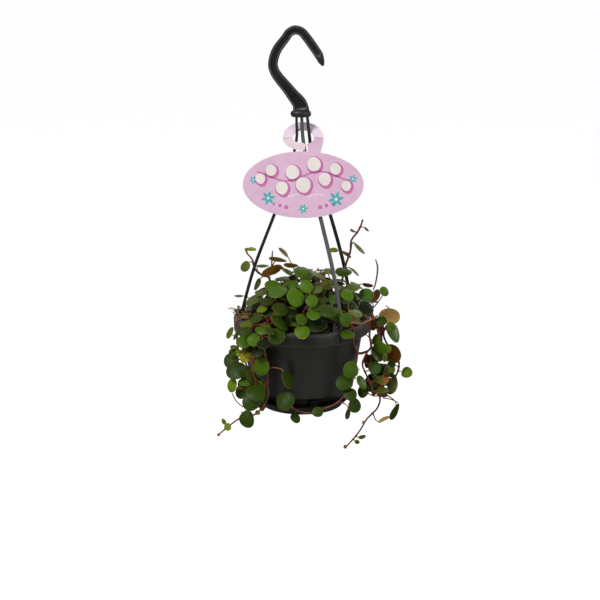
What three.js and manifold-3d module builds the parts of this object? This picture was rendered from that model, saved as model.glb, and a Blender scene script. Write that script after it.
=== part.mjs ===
// A trailing peperomia in a round hanging pot: the pot with its clip-on saucer and soil, the hook with
// its three long arms, an oval card tag round the arms, and the leafy stems that mound up and trail over.
//
// Everything is modelled in the pot's frame: millimetres, +Z up, the origin at the middle of the rim.
// At the end the whole group is moved so that the origin is at the seat of the hook, where it hangs.

import * as THREE from "three";
import { mergeVertices } from "three/addons/utils/BufferGeometryUtils.js";
import Module from "manifold-3d";

const wasm = await Module();
wasm.setup();

// Driving dimensions

const RIM_RADIUS = 62.5;          // outside of a 12 cm hanging pot
const BAND_HEIGHT = 11.5;         // skirt that hangs from the rim
const LEDGE_THICKNESS = 1.8;
const LEDGE_INNER_RADIUS = 54.6;
const SKIRT_WALL = 1.6;
const BODY_TOP_RADIUS = 55.6;
const BODY_FOOT_RADIUS = 47;
const BODY_FOOT_Z = -64.4;
const FOOT_Z = -80.4;
const WALL = 1.8;
const ROUND_STEPS = 32;
const SLIVERS = [0.05, 0.02, 0];  // detail smaller than this is closed up

const SAUCER_BASE_Z = -82.5;
const SAUCER_RIM_Z = -72.8;
const SAUCER_RIM_RADIUS = 45.6;
const SAUCER_BASE_RADIUS = 37.5;

const SOIL_Z = -9;                // mean level of the soil's top
const SOIL_RADIUS = 52.6;
const SOIL_STEPS = 24;
const HOLE_RADIUS = 2.3;          // plain hole for a stem's root
const CLEARANCE = 0.35;           // between pieces that touch on the real plant

const HOOK_SEAT = { x: -5.6, z: 255.6 };
const HOOK_DEPTH = 6;
const HOOK_BORDER = 1.9;          // raised border round the hook's recess
const HOOK_RECESS = 1.7;
const COLLAR_Z = 185.6;

const ARM_WIDTH = 3.4;
const ARM_THICKNESS = 3;
const ARM_NECK = { slim: 0.76, share: 0.5 };   // the arms are slimmer at the collar, down to half way
const EAR_RADIUS = 5.6;
const EAR_HOLE_RADIUS = 2.7;
const EAR_Z = 4.2;
const EAR_INNER = 57;
const EAR_OUTER = 59;
const FOOT_RADIUS = 55.1;         // where an arm's foot stands, just inside its ear
const FOOT_Z_ABOVE_RIM = 1.8;

const TAG_HALF_WIDTH = 53.5;
const TAG_HALF_HEIGHT = 29.5;
const TAG_RING_RADIUS = 18;
const TAG_HOLE_RADIUS = 9.6;
const TAG_THICKNESS = 1;
const TAG_FOLD = { x: 1, y: -4.5, z: 165 };
const TAG_LEAN = 15.5;            // degrees, the oval leans out at the bottom against the front arm
const TAG_FOLD_BACK = 62;         // degrees, the ring's upper half leans back

const LEAF_THICKNESS = 0.9;
const LEAF_DOME = 0.16;           // rise of the middle, as a share of the leaf's radius
const STALK_RADIUS = 0.7;
const STEM_ROOT_RADIUS = 1.35;
const STEM_TIP_RADIUS = 0.8;
const STEM_SIDES = 3;
const LEAF_SIDES = 6;

// The photograph's camera: it looks down by 15 degrees on the middle of the rim

const PHOTO = { u: 302, v: 316, focal: 1754, distance: 1600, pitch: THREE.MathUtils.degToRad(15) };
const RIGHT = new THREE.Vector3(1, 0, 0);
const UP_IN_VIEW = new THREE.Vector3(0, Math.sin(PHOTO.pitch), Math.cos(PHOTO.pitch));
const TO_CAMERA = new THREE.Vector3(0, -Math.cos(PHOTO.pitch), Math.sin(PHOTO.pitch));

// Where the mass of leaves ends: a low dome over the rim, and a skirt of leaves below it

const CANOPY = { centre: new THREE.Vector3(8, -3, -6), half: new THREE.Vector3(60, 62, 54) };
const SKIRT_RADIUS = 66;
const RIM_ROW = 333;              // below this row of the photograph a leaf hangs on the skirt

const vec = (x, y, z) => new THREE.Vector3(x, y, z);
const radians = THREE.MathUtils.degToRad;

// A line of sight through a pixel of the photograph, as a start and a step for each mm towards the camera
function sightLine(u, v) {
  const across = (u - PHOTO.u) / PHOTO.focal;
  const up = (PHOTO.v - v) / PHOTO.focal;
  const start = vec(0, 0, 0);
  start.addScaledVector(RIGHT, across * PHOTO.distance);
  start.addScaledVector(UP_IN_VIEW, up * PHOTO.distance);
  const step = TO_CAMERA.clone();
  step.addScaledVector(RIGHT, -across);
  step.addScaledVector(UP_IN_VIEW, -up);
  return { start, step };
}

function alongSight(line, towardsCamera) {
  return line.start.clone().addScaledVector(line.step, towardsCamera);
}

// The point seen at a pixel on the upright plane at depth y
function seen(u, v, y) {
  const line = sightLine(u, v);
  return alongSight(line, (y - line.start.y) / line.step.y);
}

// How far towards the camera a sight line first meets a round surface, or comes nearest to it
function nearSide(line, centre, half) {
  const from = line.start.clone().sub(centre).divide(half);
  const step = line.step.clone().divide(half);
  const a = step.dot(step);
  const b = from.dot(step);
  const c = from.dot(from) - 1;
  const root = Math.sqrt(Math.max(0, b * b - a * c));
  return (-b + root) / a;
}

// Solids: joining and cutting closed meshes

function toSolid(geometry) {
  const bare = geometry.clone();
  bare.deleteAttribute("normal");
  bare.deleteAttribute("uv");
  const merged = mergeVertices(bare, 1e-4);
  return new wasm.Manifold(new wasm.Mesh({
    numProp: 3,
    vertProperties: new Float32Array(merged.attributes.position.array),
    triVerts: new Uint32Array(merged.index.array),
  }));
}

// The slivers that cuts and joins leave are closed up on the way, as far as a piece stays one body
function toGeometry(solid) {
  const whole = solid.asOriginal();
  const tidied = SLIVERS.map((sliver) => whole.simplify(sliver));
  const mesh = (tidied.find((tidy) => tidy.decompose().length === 1) ?? solid).getMesh();
  const geometry = new THREE.BufferGeometry();
  geometry.setAttribute("position", new THREE.BufferAttribute(new Float32Array(mesh.vertProperties), 3));
  geometry.setIndex(new THREE.BufferAttribute(new Uint32Array(mesh.triVerts), 1));
  return geometry;
}

function joined(geometries) {
  const solids = geometries.map(toSolid);
  return solids.slice(1).reduce((sum, solid) => sum.add(solid), solids[0]);
}

function turned(points, steps = ROUND_STEPS) {
  const geometry = new THREE.LatheGeometry(points.map(([r, z]) => new THREE.Vector2(r, z)), steps);
  return geometry.rotateX(Math.PI / 2);
}

// A closed tube through a row of points, with a radius that changes from one end to the other
function tube(points, radii, sides, firstUp) {
  const positions = [];
  const triangles = [];
  const up = firstUp.clone();
  points.forEach((point, i) => {
    const before = points[Math.max(i - 1, 0)];
    const after = points[Math.min(i + 1, points.length - 1)];
    const ahead = after.clone().sub(before).normalize();
    up.addScaledVector(ahead, -up.dot(ahead)).normalize();
    const side = up.clone().cross(ahead);
    for (let k = 0; k < sides; k += 1) {
      const turn = (2 * Math.PI * k) / sides;
      const corner = point.clone();
      corner.addScaledVector(up, radii[i] * Math.cos(turn));
      corner.addScaledVector(side, -radii[i] * Math.sin(turn));
      positions.push(...corner.toArray());
    }
  });
  for (let i = 0; i + 1 < points.length; i += 1) {
    for (let k = 0; k < sides; k += 1) {
      const a = i * sides + k;
      const b = i * sides + ((k + 1) % sides);
      triangles.push(a, b, b + sides, a, b + sides, a + sides);
    }
  }
  const last = (points.length - 1) * sides;
  for (let k = 1; k + 1 < sides; k += 1) {
    triangles.push(0, k + 1, k);
    triangles.push(last, last + k, last + k + 1);
  }
  const geometry = new THREE.BufferGeometry();
  geometry.setAttribute("position", new THREE.Float32BufferAttribute(positions, 3));
  geometry.setIndex(triangles);
  return geometry;
}

// Pot

function potGeometry(armAngles) {
  const inner = LEDGE_INNER_RADIUS;
  const skirtInner = RIM_RADIUS - SKIRT_WALL;
  const wall = turned([
    [0, FOOT_Z], [35.2, FOOT_Z], [38.4, -71], [37.4, -70.2], [37.8, -68], [40.2, -67],
    [BODY_FOOT_RADIUS, BODY_FOOT_Z],
    [BODY_TOP_RADIUS, -BAND_HEIGHT], [56, -LEDGE_THICKNESS],
    [skirtInner, -LEDGE_THICKNESS], [skirtInner - 0.3, -BAND_HEIGHT], [RIM_RADIUS - 0.5, -BAND_HEIGHT],
    [RIM_RADIUS, -1], [RIM_RADIUS - 0.9, 0], [inner, 0],
    [BODY_TOP_RADIUS - WALL, -BAND_HEIGHT], [BODY_FOOT_RADIUS - 2 * WALL, BODY_FOOT_Z + WALL],
    [36.2, -66], [35.4, -71], [33.4, FOOT_Z + WALL], [0, FOOT_Z + WALL],
  ]);
  let pot = toSolid(wall);
  for (let k = 0; k < 4; k += 1) {
    const hole = new THREE.CylinderGeometry(3.5, 3.5, 3 * WALL, 8).rotateX(Math.PI / 2);
    const angle = radians(45 + 90 * k);
    hole.translate(22 * Math.cos(angle), 22 * Math.sin(angle), FOOT_Z + WALL / 2);
    pot = pot.subtract(toSolid(hole));
  }
  for (const angle of armAngles) {
    pot = pot.add(toSolid(earGeometry(angle)));
    const slot = new THREE.BoxGeometry(4, 1.6, BAND_HEIGHT - 2);
    slot.translate(RIM_RADIUS - SKIRT_WALL / 2, 0, -BAND_HEIGHT / 2 - 0.4).rotateZ(angle);
    pot = pot.subtract(toSolid(slot));
  }
  return toGeometry(pot);
}

// A half-round ear with a round hole, standing on the ledge square to the pot's radius
function earGeometry(angle) {
  const outline = new THREE.Shape();
  outline.moveTo(-EAR_RADIUS - 1.4, -LEDGE_THICKNESS + 0.5);
  outline.lineTo(EAR_RADIUS + 1.4, -LEDGE_THICKNESS + 0.5);
  outline.lineTo(EAR_RADIUS, EAR_Z - 1.5);
  outline.absarc(0, EAR_Z, EAR_RADIUS, radians(-10), radians(190), false);
  outline.lineTo(-EAR_RADIUS, EAR_Z - 1.5);
  const hole = new THREE.Path();
  hole.absarc(0, EAR_Z, EAR_HOLE_RADIUS, 0, 2 * Math.PI, true);
  outline.holes.push(hole);
  const plate = new THREE.ExtrudeGeometry(outline, {
    depth: EAR_OUTER - EAR_INNER, bevelEnabled: false, curveSegments: 5,
  });
  plate.rotateX(Math.PI / 2).rotateZ(Math.PI / 2);
  return plate.translate(EAR_INNER, 0, 0).rotateZ(angle);
}

// Saucer, with four clip tabs whose barbs reach into the groove of the pot's foot

function saucerGeometry() {
  const floor = SAUCER_BASE_Z + 1.6;
  const dish = turned([
    [0, SAUCER_BASE_Z], [SAUCER_BASE_RADIUS - 0.8, SAUCER_BASE_Z], [SAUCER_BASE_RADIUS, SAUCER_BASE_Z + 0.9],
    [SAUCER_RIM_RADIUS - 0.8, SAUCER_RIM_Z - 1.4], [SAUCER_RIM_RADIUS, SAUCER_RIM_Z - 0.8],
    [SAUCER_RIM_RADIUS, SAUCER_RIM_Z], [SAUCER_RIM_RADIUS - 1.6, SAUCER_RIM_Z],
    [SAUCER_BASE_RADIUS - 1, floor], [0, floor],
  ]);
  let saucer = toSolid(dish);
  for (let k = 0; k < 4; k += 1) {
    const post = new THREE.BoxGeometry(1.6, 7, 11.4).translate(41.2, 0, -73.4);
    const barb = new THREE.BoxGeometry(2.6, 7, 1.2).translate(39.7, 0, -69.1);
    const angle = radians(15 + 90 * k);
    saucer = saucer.add(toSolid(post.rotateZ(angle))).add(toSolid(barb.rotateZ(angle)));
  }
  return toGeometry(saucer);
}

// Soil: a plug that fills the pot, with a gently uneven top and a plain hole for each stem

function soilHeight(x, y) {
  return SOIL_Z + 1.1 * Math.sin(0.13 * x + 0.7) * Math.cos(0.11 * y) + 0.6 * Math.sin(0.31 * x - 0.23 * y);
}

function soilGeometry(stems) {
  const bodyTop = -BAND_HEIGHT;
  const plug = turned([
    [0, FOOT_Z + WALL + CLEARANCE], [33, FOOT_Z + WALL + CLEARANCE], [34.8, -71], [35.6, -65.6],
    [BODY_FOOT_RADIUS - 2 * WALL - 0.6, BODY_FOOT_Z + 3],
    [SOIL_RADIUS, bodyTop], [SOIL_RADIUS, SOIL_Z], [36, SOIL_Z], [18, SOIL_Z], [0, SOIL_Z],
  ], SOIL_STEPS);
  const position = plug.attributes.position;
  for (let i = 0; i < position.count; i += 1) {
    const [x, y, z] = [position.getX(i), position.getY(i), position.getZ(i)];
    if (Math.abs(z - SOIL_Z) < 0.01) {
      position.setZ(i, soilHeight(x, y));
    }
  }
  let soil = toSolid(plug);
  for (const stem of stems) {
    const depth = SOIL_Z - stem.root.z + 6;
    const hole = new THREE.CylinderGeometry(HOLE_RADIUS, HOLE_RADIUS, depth, 5);
    hole.rotateX(Math.PI / 2).translate(stem.root.x, stem.root.y, stem.root.z - 0.6 + depth / 2);
    soil = soil.subtract(toSolid(hole));
  }
  return toGeometry(soil);
}

// Hanger: the hook, its collar and three arms, one moulding

// Stations along the hook from its tip to its collar: the middle of the limb and half its width,
// across and up from the seat
const HOOK_STATIONS = [
  { x: 24.3, z: -27.4, half: 1.0 }, { x: 22.6, z: -23.6, half: 2.8 }, { x: 20.4, z: -18.3, half: 3.8 },
  { x: 14.6, z: -9.6, half: 3.9 }, { x: 8.7, z: -1.6, half: 3.9 }, { x: 5.1, z: 2.3, half: 3.8 },
  { x: -0.3, z: 3.9, half: 3.9 }, { x: -5.4, z: 1.7, half: 3.9 }, { x: -8.9, z: -3.2, half: 3.9 },
  { x: -16.7, z: -13.9, half: 4.2 }, { x: -20, z: -25.6, half: 4.3 }, { x: -18.5, z: -32.4, half: 4.3 },
  { x: -14.8, z: -38.1, half: 4.5 }, { x: -6.7, z: -47.8, half: 4.9 }, { x: -2.4, z: -53.4, half: 5.4 },
  { x: 3.2, z: -60.6, half: 6.4 }, { x: 4.7, z: -66.2, half: 7.2 }, { x: 4.7, z: -70, half: 7.6 },
];

// The limb's outline: out along one edge of the stations and back along the other
function limbOutline(stations, inset) {
  const spine = new THREE.CatmullRomCurve3(stations.map((s) => vec(s.x, 0, s.z)), false, "centripetal");
  const widths = new THREE.CatmullRomCurve3(stations.map((s, i) => vec(i, s.half, 0)), false, "catmullrom", 0);
  const steps = 22;
  const one = [];
  const other = [];
  for (let i = 0; i <= steps; i += 1) {
    const point = spine.getPoint(i / steps);
    const along = spine.getTangent(i / steps);
    const half = Math.max(widths.getPoint(i / steps).y - inset, 0.4);
    one.push(new THREE.Vector2(point.x - along.z * half, point.z + along.x * half));
    other.unshift(new THREE.Vector2(point.x + along.z * half, point.z - along.x * half));
  }
  return new THREE.Shape([...one, ...other]);
}

function hookSolid() {
  const limb = new THREE.ExtrudeGeometry(limbOutline(HOOK_STATIONS, 0), { depth: HOOK_DEPTH, bevelEnabled: false });
  limb.translate(0, 0, -HOOK_DEPTH / 2).rotateX(Math.PI / 2);
  let hook = toSolid(limb);
  const recessed = HOOK_STATIONS.slice(2, -1);
  for (const side of [-1, 1]) {
    const pocket = new THREE.ExtrudeGeometry(limbOutline(recessed, HOOK_BORDER), {
      depth: HOOK_RECESS + 1, bevelEnabled: false,
    });
    pocket.translate(0, 0, side * (HOOK_DEPTH / 2 + 1) - (side > 0 ? HOOK_RECESS + 1 : 0));
    hook = hook.subtract(toSolid(pocket.rotateX(Math.PI / 2)));
  }
  return hook.translate([HOOK_SEAT.x, 0, HOOK_SEAT.z]);
}

function collarGeometry() {
  const collar = turned([[0, -2.6], [7.6, -2.6], [8.7, -1.7], [9.3, 0.2], [8.8, 1.9], [7.2, 3], [0, 3]], 16);
  return collar.scale(1, 0.6, 1).translate(-1, 0, COLLAR_Z);
}

// Each arm's route from the collar down to just above its foot, and the angle of its ear
const ARMS = {
  left: {
    angle: radians(180),
    route: [[-5, 0, 186], [-4.8, 0, 176], [-4.6, 0, 166], [-7.3, 0, 150], [-15, 0, 122], [-24.6, 0, 95.4],
      [-42.8, 0, 47], [-52.2, 0, 14]],
  },
  front: {
    angle: radians(-57),
    route: [[-0.4, -0.6, 186], [0, -1, 176], [0.6, -1.7, 166], [3, -5.2, 150], [9.9, -12.5, 122],
      [16.5, -20.1, 95.4], [28.2, -36.5, 47], [33, -44, 13]],
  },
  back: {
    angle: radians(33),
    route: [[4.4, -0.4, 186], [5.4, -0.2, 176], [6.5, 0.2, 166], [8.6, 2.6, 150], [16.2, 8, 122],
      [24.4, 13.2, 95.4], [37.4, 23.4, 47], [43.9, 28.4, 14]],
  },
};

function armRoute(arm) {
  const points = arm.route.map(([x, y, z]) => vec(x, y, z));
  points.push(vec(FOOT_RADIUS * Math.cos(arm.angle), FOOT_RADIUS * Math.sin(arm.angle), FOOT_Z_ABOVE_RIM));
  return new THREE.CatmullRomCurve3(points, false, "centripetal");
}

// An arm is a flat strap with chamfered edges, its flat side facing out from the pot's axis
function armGeometry(arm) {
  const route = armRoute(arm);
  const steps = 14;
  const outward = vec(Math.cos(arm.angle), Math.sin(arm.angle), 0);
  const section = [[-1, 0], [-0.5, -1], [0.5, -1], [1, 0], [0.5, 1], [-0.5, 1]];
  const positions = [];
  const triangles = [];
  const sides = section.length;
  for (let i = 0; i <= steps; i += 1) {
    const point = route.getPoint(i / steps);
    const ahead = route.getTangent(i / steps);
    const side = ahead.clone().cross(outward).normalize();
    const flat = side.clone().cross(ahead);
    const size = THREE.MathUtils.lerp(ARM_NECK.slim, 1, Math.min(1, i / steps / ARM_NECK.share));
    for (const [across, out] of section) {
      const corner = point.clone().addScaledVector(side, (across * size * ARM_WIDTH) / 2);
      positions.push(...corner.addScaledVector(flat, (out * size * ARM_THICKNESS) / 2).toArray());
    }
  }
  for (let i = 0; i < steps; i += 1) {
    for (let k = 0; k < sides; k += 1) {
      const a = i * sides + k;
      const b = i * sides + ((k + 1) % sides);
      triangles.push(a, b + sides, b, a, a + sides, b + sides);
    }
  }
  for (let k = 1; k + 1 < sides; k += 1) {
    triangles.push(0, k, k + 1, steps * sides, steps * sides + k + 1, steps * sides + k);
  }
  const geometry = new THREE.BufferGeometry();
  geometry.setAttribute("position", new THREE.Float32BufferAttribute(positions, 3));
  geometry.setIndex(triangles);
  return geometry;
}

// The peg that hooks through the ear's hole, near the top of the hole, with a small snap head
function pegGeometry(arm) {
  const radius = 1.1;
  const peg = turnedPeg([[0, FOOT_RADIUS - 0.4], [radius, FOOT_RADIUS - 0.4], [radius, EAR_OUTER + 0.5],
    [1.7, EAR_OUTER + 0.7], [1.5, EAR_OUTER + 1.7], [0, EAR_OUTER + 2]]);
  peg.translate(0, 0, EAR_Z + EAR_HOLE_RADIUS - radius - 0.45);
  return peg.rotateZ(arm.angle);
}

function turnedPeg(points) {
  const peg = new THREE.LatheGeometry(points.map(([r, x]) => new THREE.Vector2(r, x)), 6);
  return peg.rotateZ(-Math.PI / 2);
}

function hangerGeometry() {
  let hanger = hookSolid().add(toSolid(collarGeometry()));
  for (const arm of Object.values(ARMS)) {
    hanger = hanger.add(toSolid(armGeometry(arm))).add(toSolid(pegGeometry(arm)));
  }
  return toGeometry(hanger);
}

// Tag: an oval card with a split ring, whose upper half is folded back behind the arms

function tagGeometry() {
  const half = TAG_HOLE_RADIUS;
  const ring = TAG_RING_RADIUS;
  const ovalTop = -12;
  const ovalMiddle = ovalTop - TAG_HALF_HEIGHT;

  const oval = new THREE.Shape();
  oval.absellipse(0, ovalMiddle, TAG_HALF_WIDTH, TAG_HALF_HEIGHT, 0, 2 * Math.PI, false, 0);

  const leftHorn = new THREE.Shape();
  leftHorn.moveTo(-ring, 0.4);
  leftHorn.absellipse(0, 0, ring, 11.2, Math.PI, 1.5 * Math.PI, false, 0);
  leftHorn.lineTo(1.4, -11.1);
  leftHorn.lineTo(2, -5.6);
  leftHorn.lineTo(0, -4.6);
  leftHorn.absellipse(0, 0, half, 4.6, 1.5 * Math.PI, Math.PI, true, 0);
  leftHorn.lineTo(-half, 0.4);

  const neck = new THREE.Shape();
  neck.moveTo(ring, 0.4);
  neck.lineTo(half, 0.4);
  neck.absellipse(0, 0, half, 6, 0, -0.4 * Math.PI, true, 0);
  neck.lineTo(4, -8);
  neck.lineTo(4.4, -14);
  neck.lineTo(14, -15);
  neck.lineTo(13.6, -10.5);
  neck.absellipse(0, 0, ring, 16, -0.2 * Math.PI, 0, false, 0);

  const top = new THREE.Shape();
  top.moveTo(ring, -0.4);
  top.absarc(0, 0, ring, 0, Math.PI, false);
  top.lineTo(-ring, -0.4);
  top.lineTo(-half, -0.4);
  top.absarc(0, 0, half, Math.PI, 0, true);
  top.lineTo(half, -0.4);

  const slab = (shape, steps) => {
    const plate = new THREE.ExtrudeGeometry(shape, {
      depth: TAG_THICKNESS, bevelEnabled: false, curveSegments: steps,
    });
    return plate.translate(0, 0, -TAG_THICKNESS / 2).rotateX(Math.PI / 2);
  };
  const lower = joined([slab(oval, 36), slab(neck, 5), slab(leftHorn, 6)]);
  const leaning = lower.rotate([-TAG_LEAN, 0, 0]);
  const upper = toSolid(slab(top, 12)).rotate([-TAG_FOLD_BACK, 0, 0]);
  return toGeometry(leaning.add(upper).translate([TAG_FOLD.x, TAG_FOLD.y, TAG_FOLD.z]));
}

// Stems

// Mounded stems stand in three rings: how many, how far out they root, and how high their tips lift
const MOUND_RINGS = [
  { count: 4, rootRadius: 9, lift: 74, first: 20 },
  { count: 8, rootRadius: 24, lift: 44, first: 5 },
  { count: 8, rootRadius: 39, lift: 17, first: 30 },
];
const MOUND_REACH = 0.76;         // how far the tips reach towards the dome of leaves
const ROOT_DEPTH = 12;
const STEM_STEP = 17;             // greatest length of a straight piece of stem between two joints
const PLACE_STEP = 2.2;           // distance between two places where a leaf's stalk can join

// Trailing stems: the angle at which each leaves the pot, and its way on from the rim, as seen in the
// photograph at a chosen depth
const TRAILS = [
  { name: "trail_left", angle: -133, root: 34, tail: [[254, 349, -51], [252, 361, -52], [253, 372, -52],
    [256, 383, -50], [257, 393, -48], [253, 402, -47]] },
  { name: "trail_left_long", angle: -124, root: 41, tail: [[264, 349, -56], [267, 366, -54], [267.5, 382, -51],
    [268, 396, -48], [264, 404, -46], [257, 413, -45], [249, 416, -45], [240, 418, -44], [230, 425, -43],
    [219, 434, -42]] },
  { name: "trail_left_side", angle: -156, root: 38, tail: [[238, 327, -30], [237, 339, -30], [238, 350, -31],
    [236, 361, -32], [240, 372, -34]] },
  { name: "trail_left_inner", angle: -146, root: 43, tail: [[246, 333, -41], [246, 346, -43], [244, 357, -44],
    [247, 367, -44], [249, 379, -44], [245, 391, -42]] },
  { name: "trail_front_right", angle: -46, root: 38, tail: [[353, 341, -47], [357, 351, -46], [356, 363, -47],
    [352, 377, -47], [346, 391, -46], [338.5, 401.5, -47], [323, 408.5, -49], [307, 412.6, -50],
    [297, 410, -50], [291, 406, -49]] },
  { name: "trail_right", angle: -7, root: 40, tail: [[378, 325, -10], [380, 336, -11], [379, 350, -12],
    [377, 362, -12], [375.5, 375, -12], [377, 388, -12], [380, 400, -12], [377, 408.5, -12], [367, 419, -12],
    [361, 429, -12], [356, 436, -12], [347, 446, -12]] },
  { name: "trail_right_outer", angle: 4, root: 33, tail: [[382.5, 325, 2], [384, 337, 2], [389, 347, 3],
    [396, 356, 3], [399, 363, 3], [398, 371, 3], [394, 379, 3], [389, 389, 2], [384, 397, 1]] },
  { name: "trail_right_inner", angle: -22, root: 32, tail: [[369.5, 336, -26], [371, 346, -26], [366, 354, -26],
    [362.5, 364, -26], [366, 374, -25], [371, 385, -24], [373, 394, -23]] },
];

const FREE_STEMS = [
  { name: "arch_right", root: [33, -24], route: [vec(38, -30, 2), seen(352, 322, -38), seen(360, 323.2, -34),
    seen(370, 319.5, -27), seen(378, 315.5, -22)] },
  { name: "shoot_left", root: [-30, 9], route: [vec(-31, 8, 10), seen(269, 278, 7), seen(262, 275, 7),
    seen(255, 269, 8), seen(252, 259, 8), seen(247, 253, 8), seen(246, 249, 8)] },
  { name: "shoot_right", root: [31, 0], route: [vec(34, 4, 12), seen(343, 276, 8), seen(346, 264, 7),
    seen(350.5, 250, 6), seen(351.5, 240, 5), seen(358, 231, 4), seen(361, 225, 4), seen(362.5, 220.5, 4)] },
];

// Trailing stems at the back, where the photograph doesn't reach: their angle and how far they hang
const BACK_TRAILS = [
  { angle: 56, drop: 40 }, { angle: 87, drop: 68 }, { angle: 104, drop: 32 }, { angle: 132, drop: 82 },
  { angle: 144, drop: 54 },
];

// The way over the rim at an angle, from the root to just outside the skirt
function overRim(angle, rootRadius) {
  const at = (radius, z) => vec(radius * Math.cos(angle), radius * Math.sin(angle), z);
  return [at(rootRadius, SOIL_Z + 1), at(rootRadius + 3, -1), at(54, 2.8), at(62, 3.2), at(65.6, -2)];
}

// A stem: its joints along a smooth curve, and finer points along them where a leaf's stalk can join
function stemOf(name, root, route) {
  const start = vec(root.x, root.y, SOIL_Z - ROOT_DEPTH);
  const points = [start, ...route];
  const curve = new THREE.CatmullRomCurve3(points, false, "centripetal");
  const joints = [start];
  for (let i = 0; i + 1 < points.length; i += 1) {
    const pieces = Math.ceil(points[i].distanceTo(points[i + 1]) / STEM_STEP);
    for (let k = 1; k <= pieces; k += 1) {
      joints.push(curve.getPoint((i + k / pieces) / (points.length - 1)));
    }
  }
  const places = [];
  for (let i = 0; i + 1 < joints.length; i += 1) {
    const pieces = Math.ceil(joints[i].distanceTo(joints[i + 1]) / PLACE_STEP);
    for (let k = 0; k < pieces; k += 1) {
      places.push(joints[i].clone().lerp(joints[i + 1], k / pieces));
    }
  }
  places.push(joints[joints.length - 1]);
  const free = places.findIndex((place) => place.z > SOIL_Z + 5);
  return { name: `stem_${name}`, root: start, joints, places: places.slice(free), solids: [] };
}

function makeStems() {
  const stems = [];
  MOUND_RINGS.forEach((ring, r) => {
    for (let k = 0; k < ring.count; k += 1) {
      const angle = radians(ring.first + (360 * k) / ring.count);
      const lift = radians(ring.lift);
      const out = vec(Math.cos(angle), Math.sin(angle), 0);
      const reach = out.clone().multiplyScalar(Math.cos(lift)).setZ(Math.sin(lift)).multiplyScalar(MOUND_REACH);
      const tip = reach.multiply(CANOPY.half).add(CANOPY.centre);
      const base = out.clone().multiplyScalar(ring.rootRadius).setZ(SOIL_Z + 1);
      const middle = base.clone().lerp(tip, 0.5);
      middle.z += 5;
      stems.push(stemOf(`mound_${r + 1}_${k + 1}`, base, [base, middle, tip]));
    }
  });
  for (const trail of TRAILS) {
    const rim = overRim(radians(trail.angle), trail.root);
    stems.push(stemOf(trail.name, rim[0], [...rim, ...trail.tail.map(([u, v, y]) => seen(u, v, y))]));
  }
  for (const free of FREE_STEMS) {
    const base = vec(free.root[0], free.root[1], SOIL_Z + 1);
    stems.push(stemOf(free.name, base, [base, ...free.route]));
  }
  BACK_TRAILS.forEach((trail, i) => {
    const rim = overRim(radians(trail.angle), 42 - 4 * (i % 2));
    const hang = [];
    for (let down = 14; down <= trail.drop; down += 13) {
      const angle = radians(trail.angle + 3 * Math.sin(down / 9 + i));
      const radius = 68.5 + 2 * Math.sin(down / 11 + 2 * i);
      hang.push(vec(radius * Math.cos(angle), radius * Math.sin(angle), -down));
    }
    stems.push(stemOf(`trail_back_${i + 1}`, rim[0], [...rim, ...hang]));
  });
  return stems;
}

function stemGeometry(stem) {
  const last = stem.joints.length - 1;
  const radii = stem.joints.map((_, i) => THREE.MathUtils.lerp(STEM_ROOT_RADIUS, STEM_TIP_RADIUS, i / last));
  return tube(stem.joints, radii, STEM_SIDES, vec(0.8, 0.6, 0));
}

// Leaves

// A leaf as seen in the photograph: the pixel of its middle, its longer diameter in pixels, how round it
// looks (1 is face on), and the angle of its longer axis, in degrees turned left from the right.
// Options: under, its underside faces the camera; y, its depth; out, the radius of skirt it hangs on;
// back, how far it lies behind the others; over, it may lie in front of an arm.
const leaf = (u, v, size, open, turn, options = {}) => ({ u, v, size, open, turn, ...options });

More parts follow.
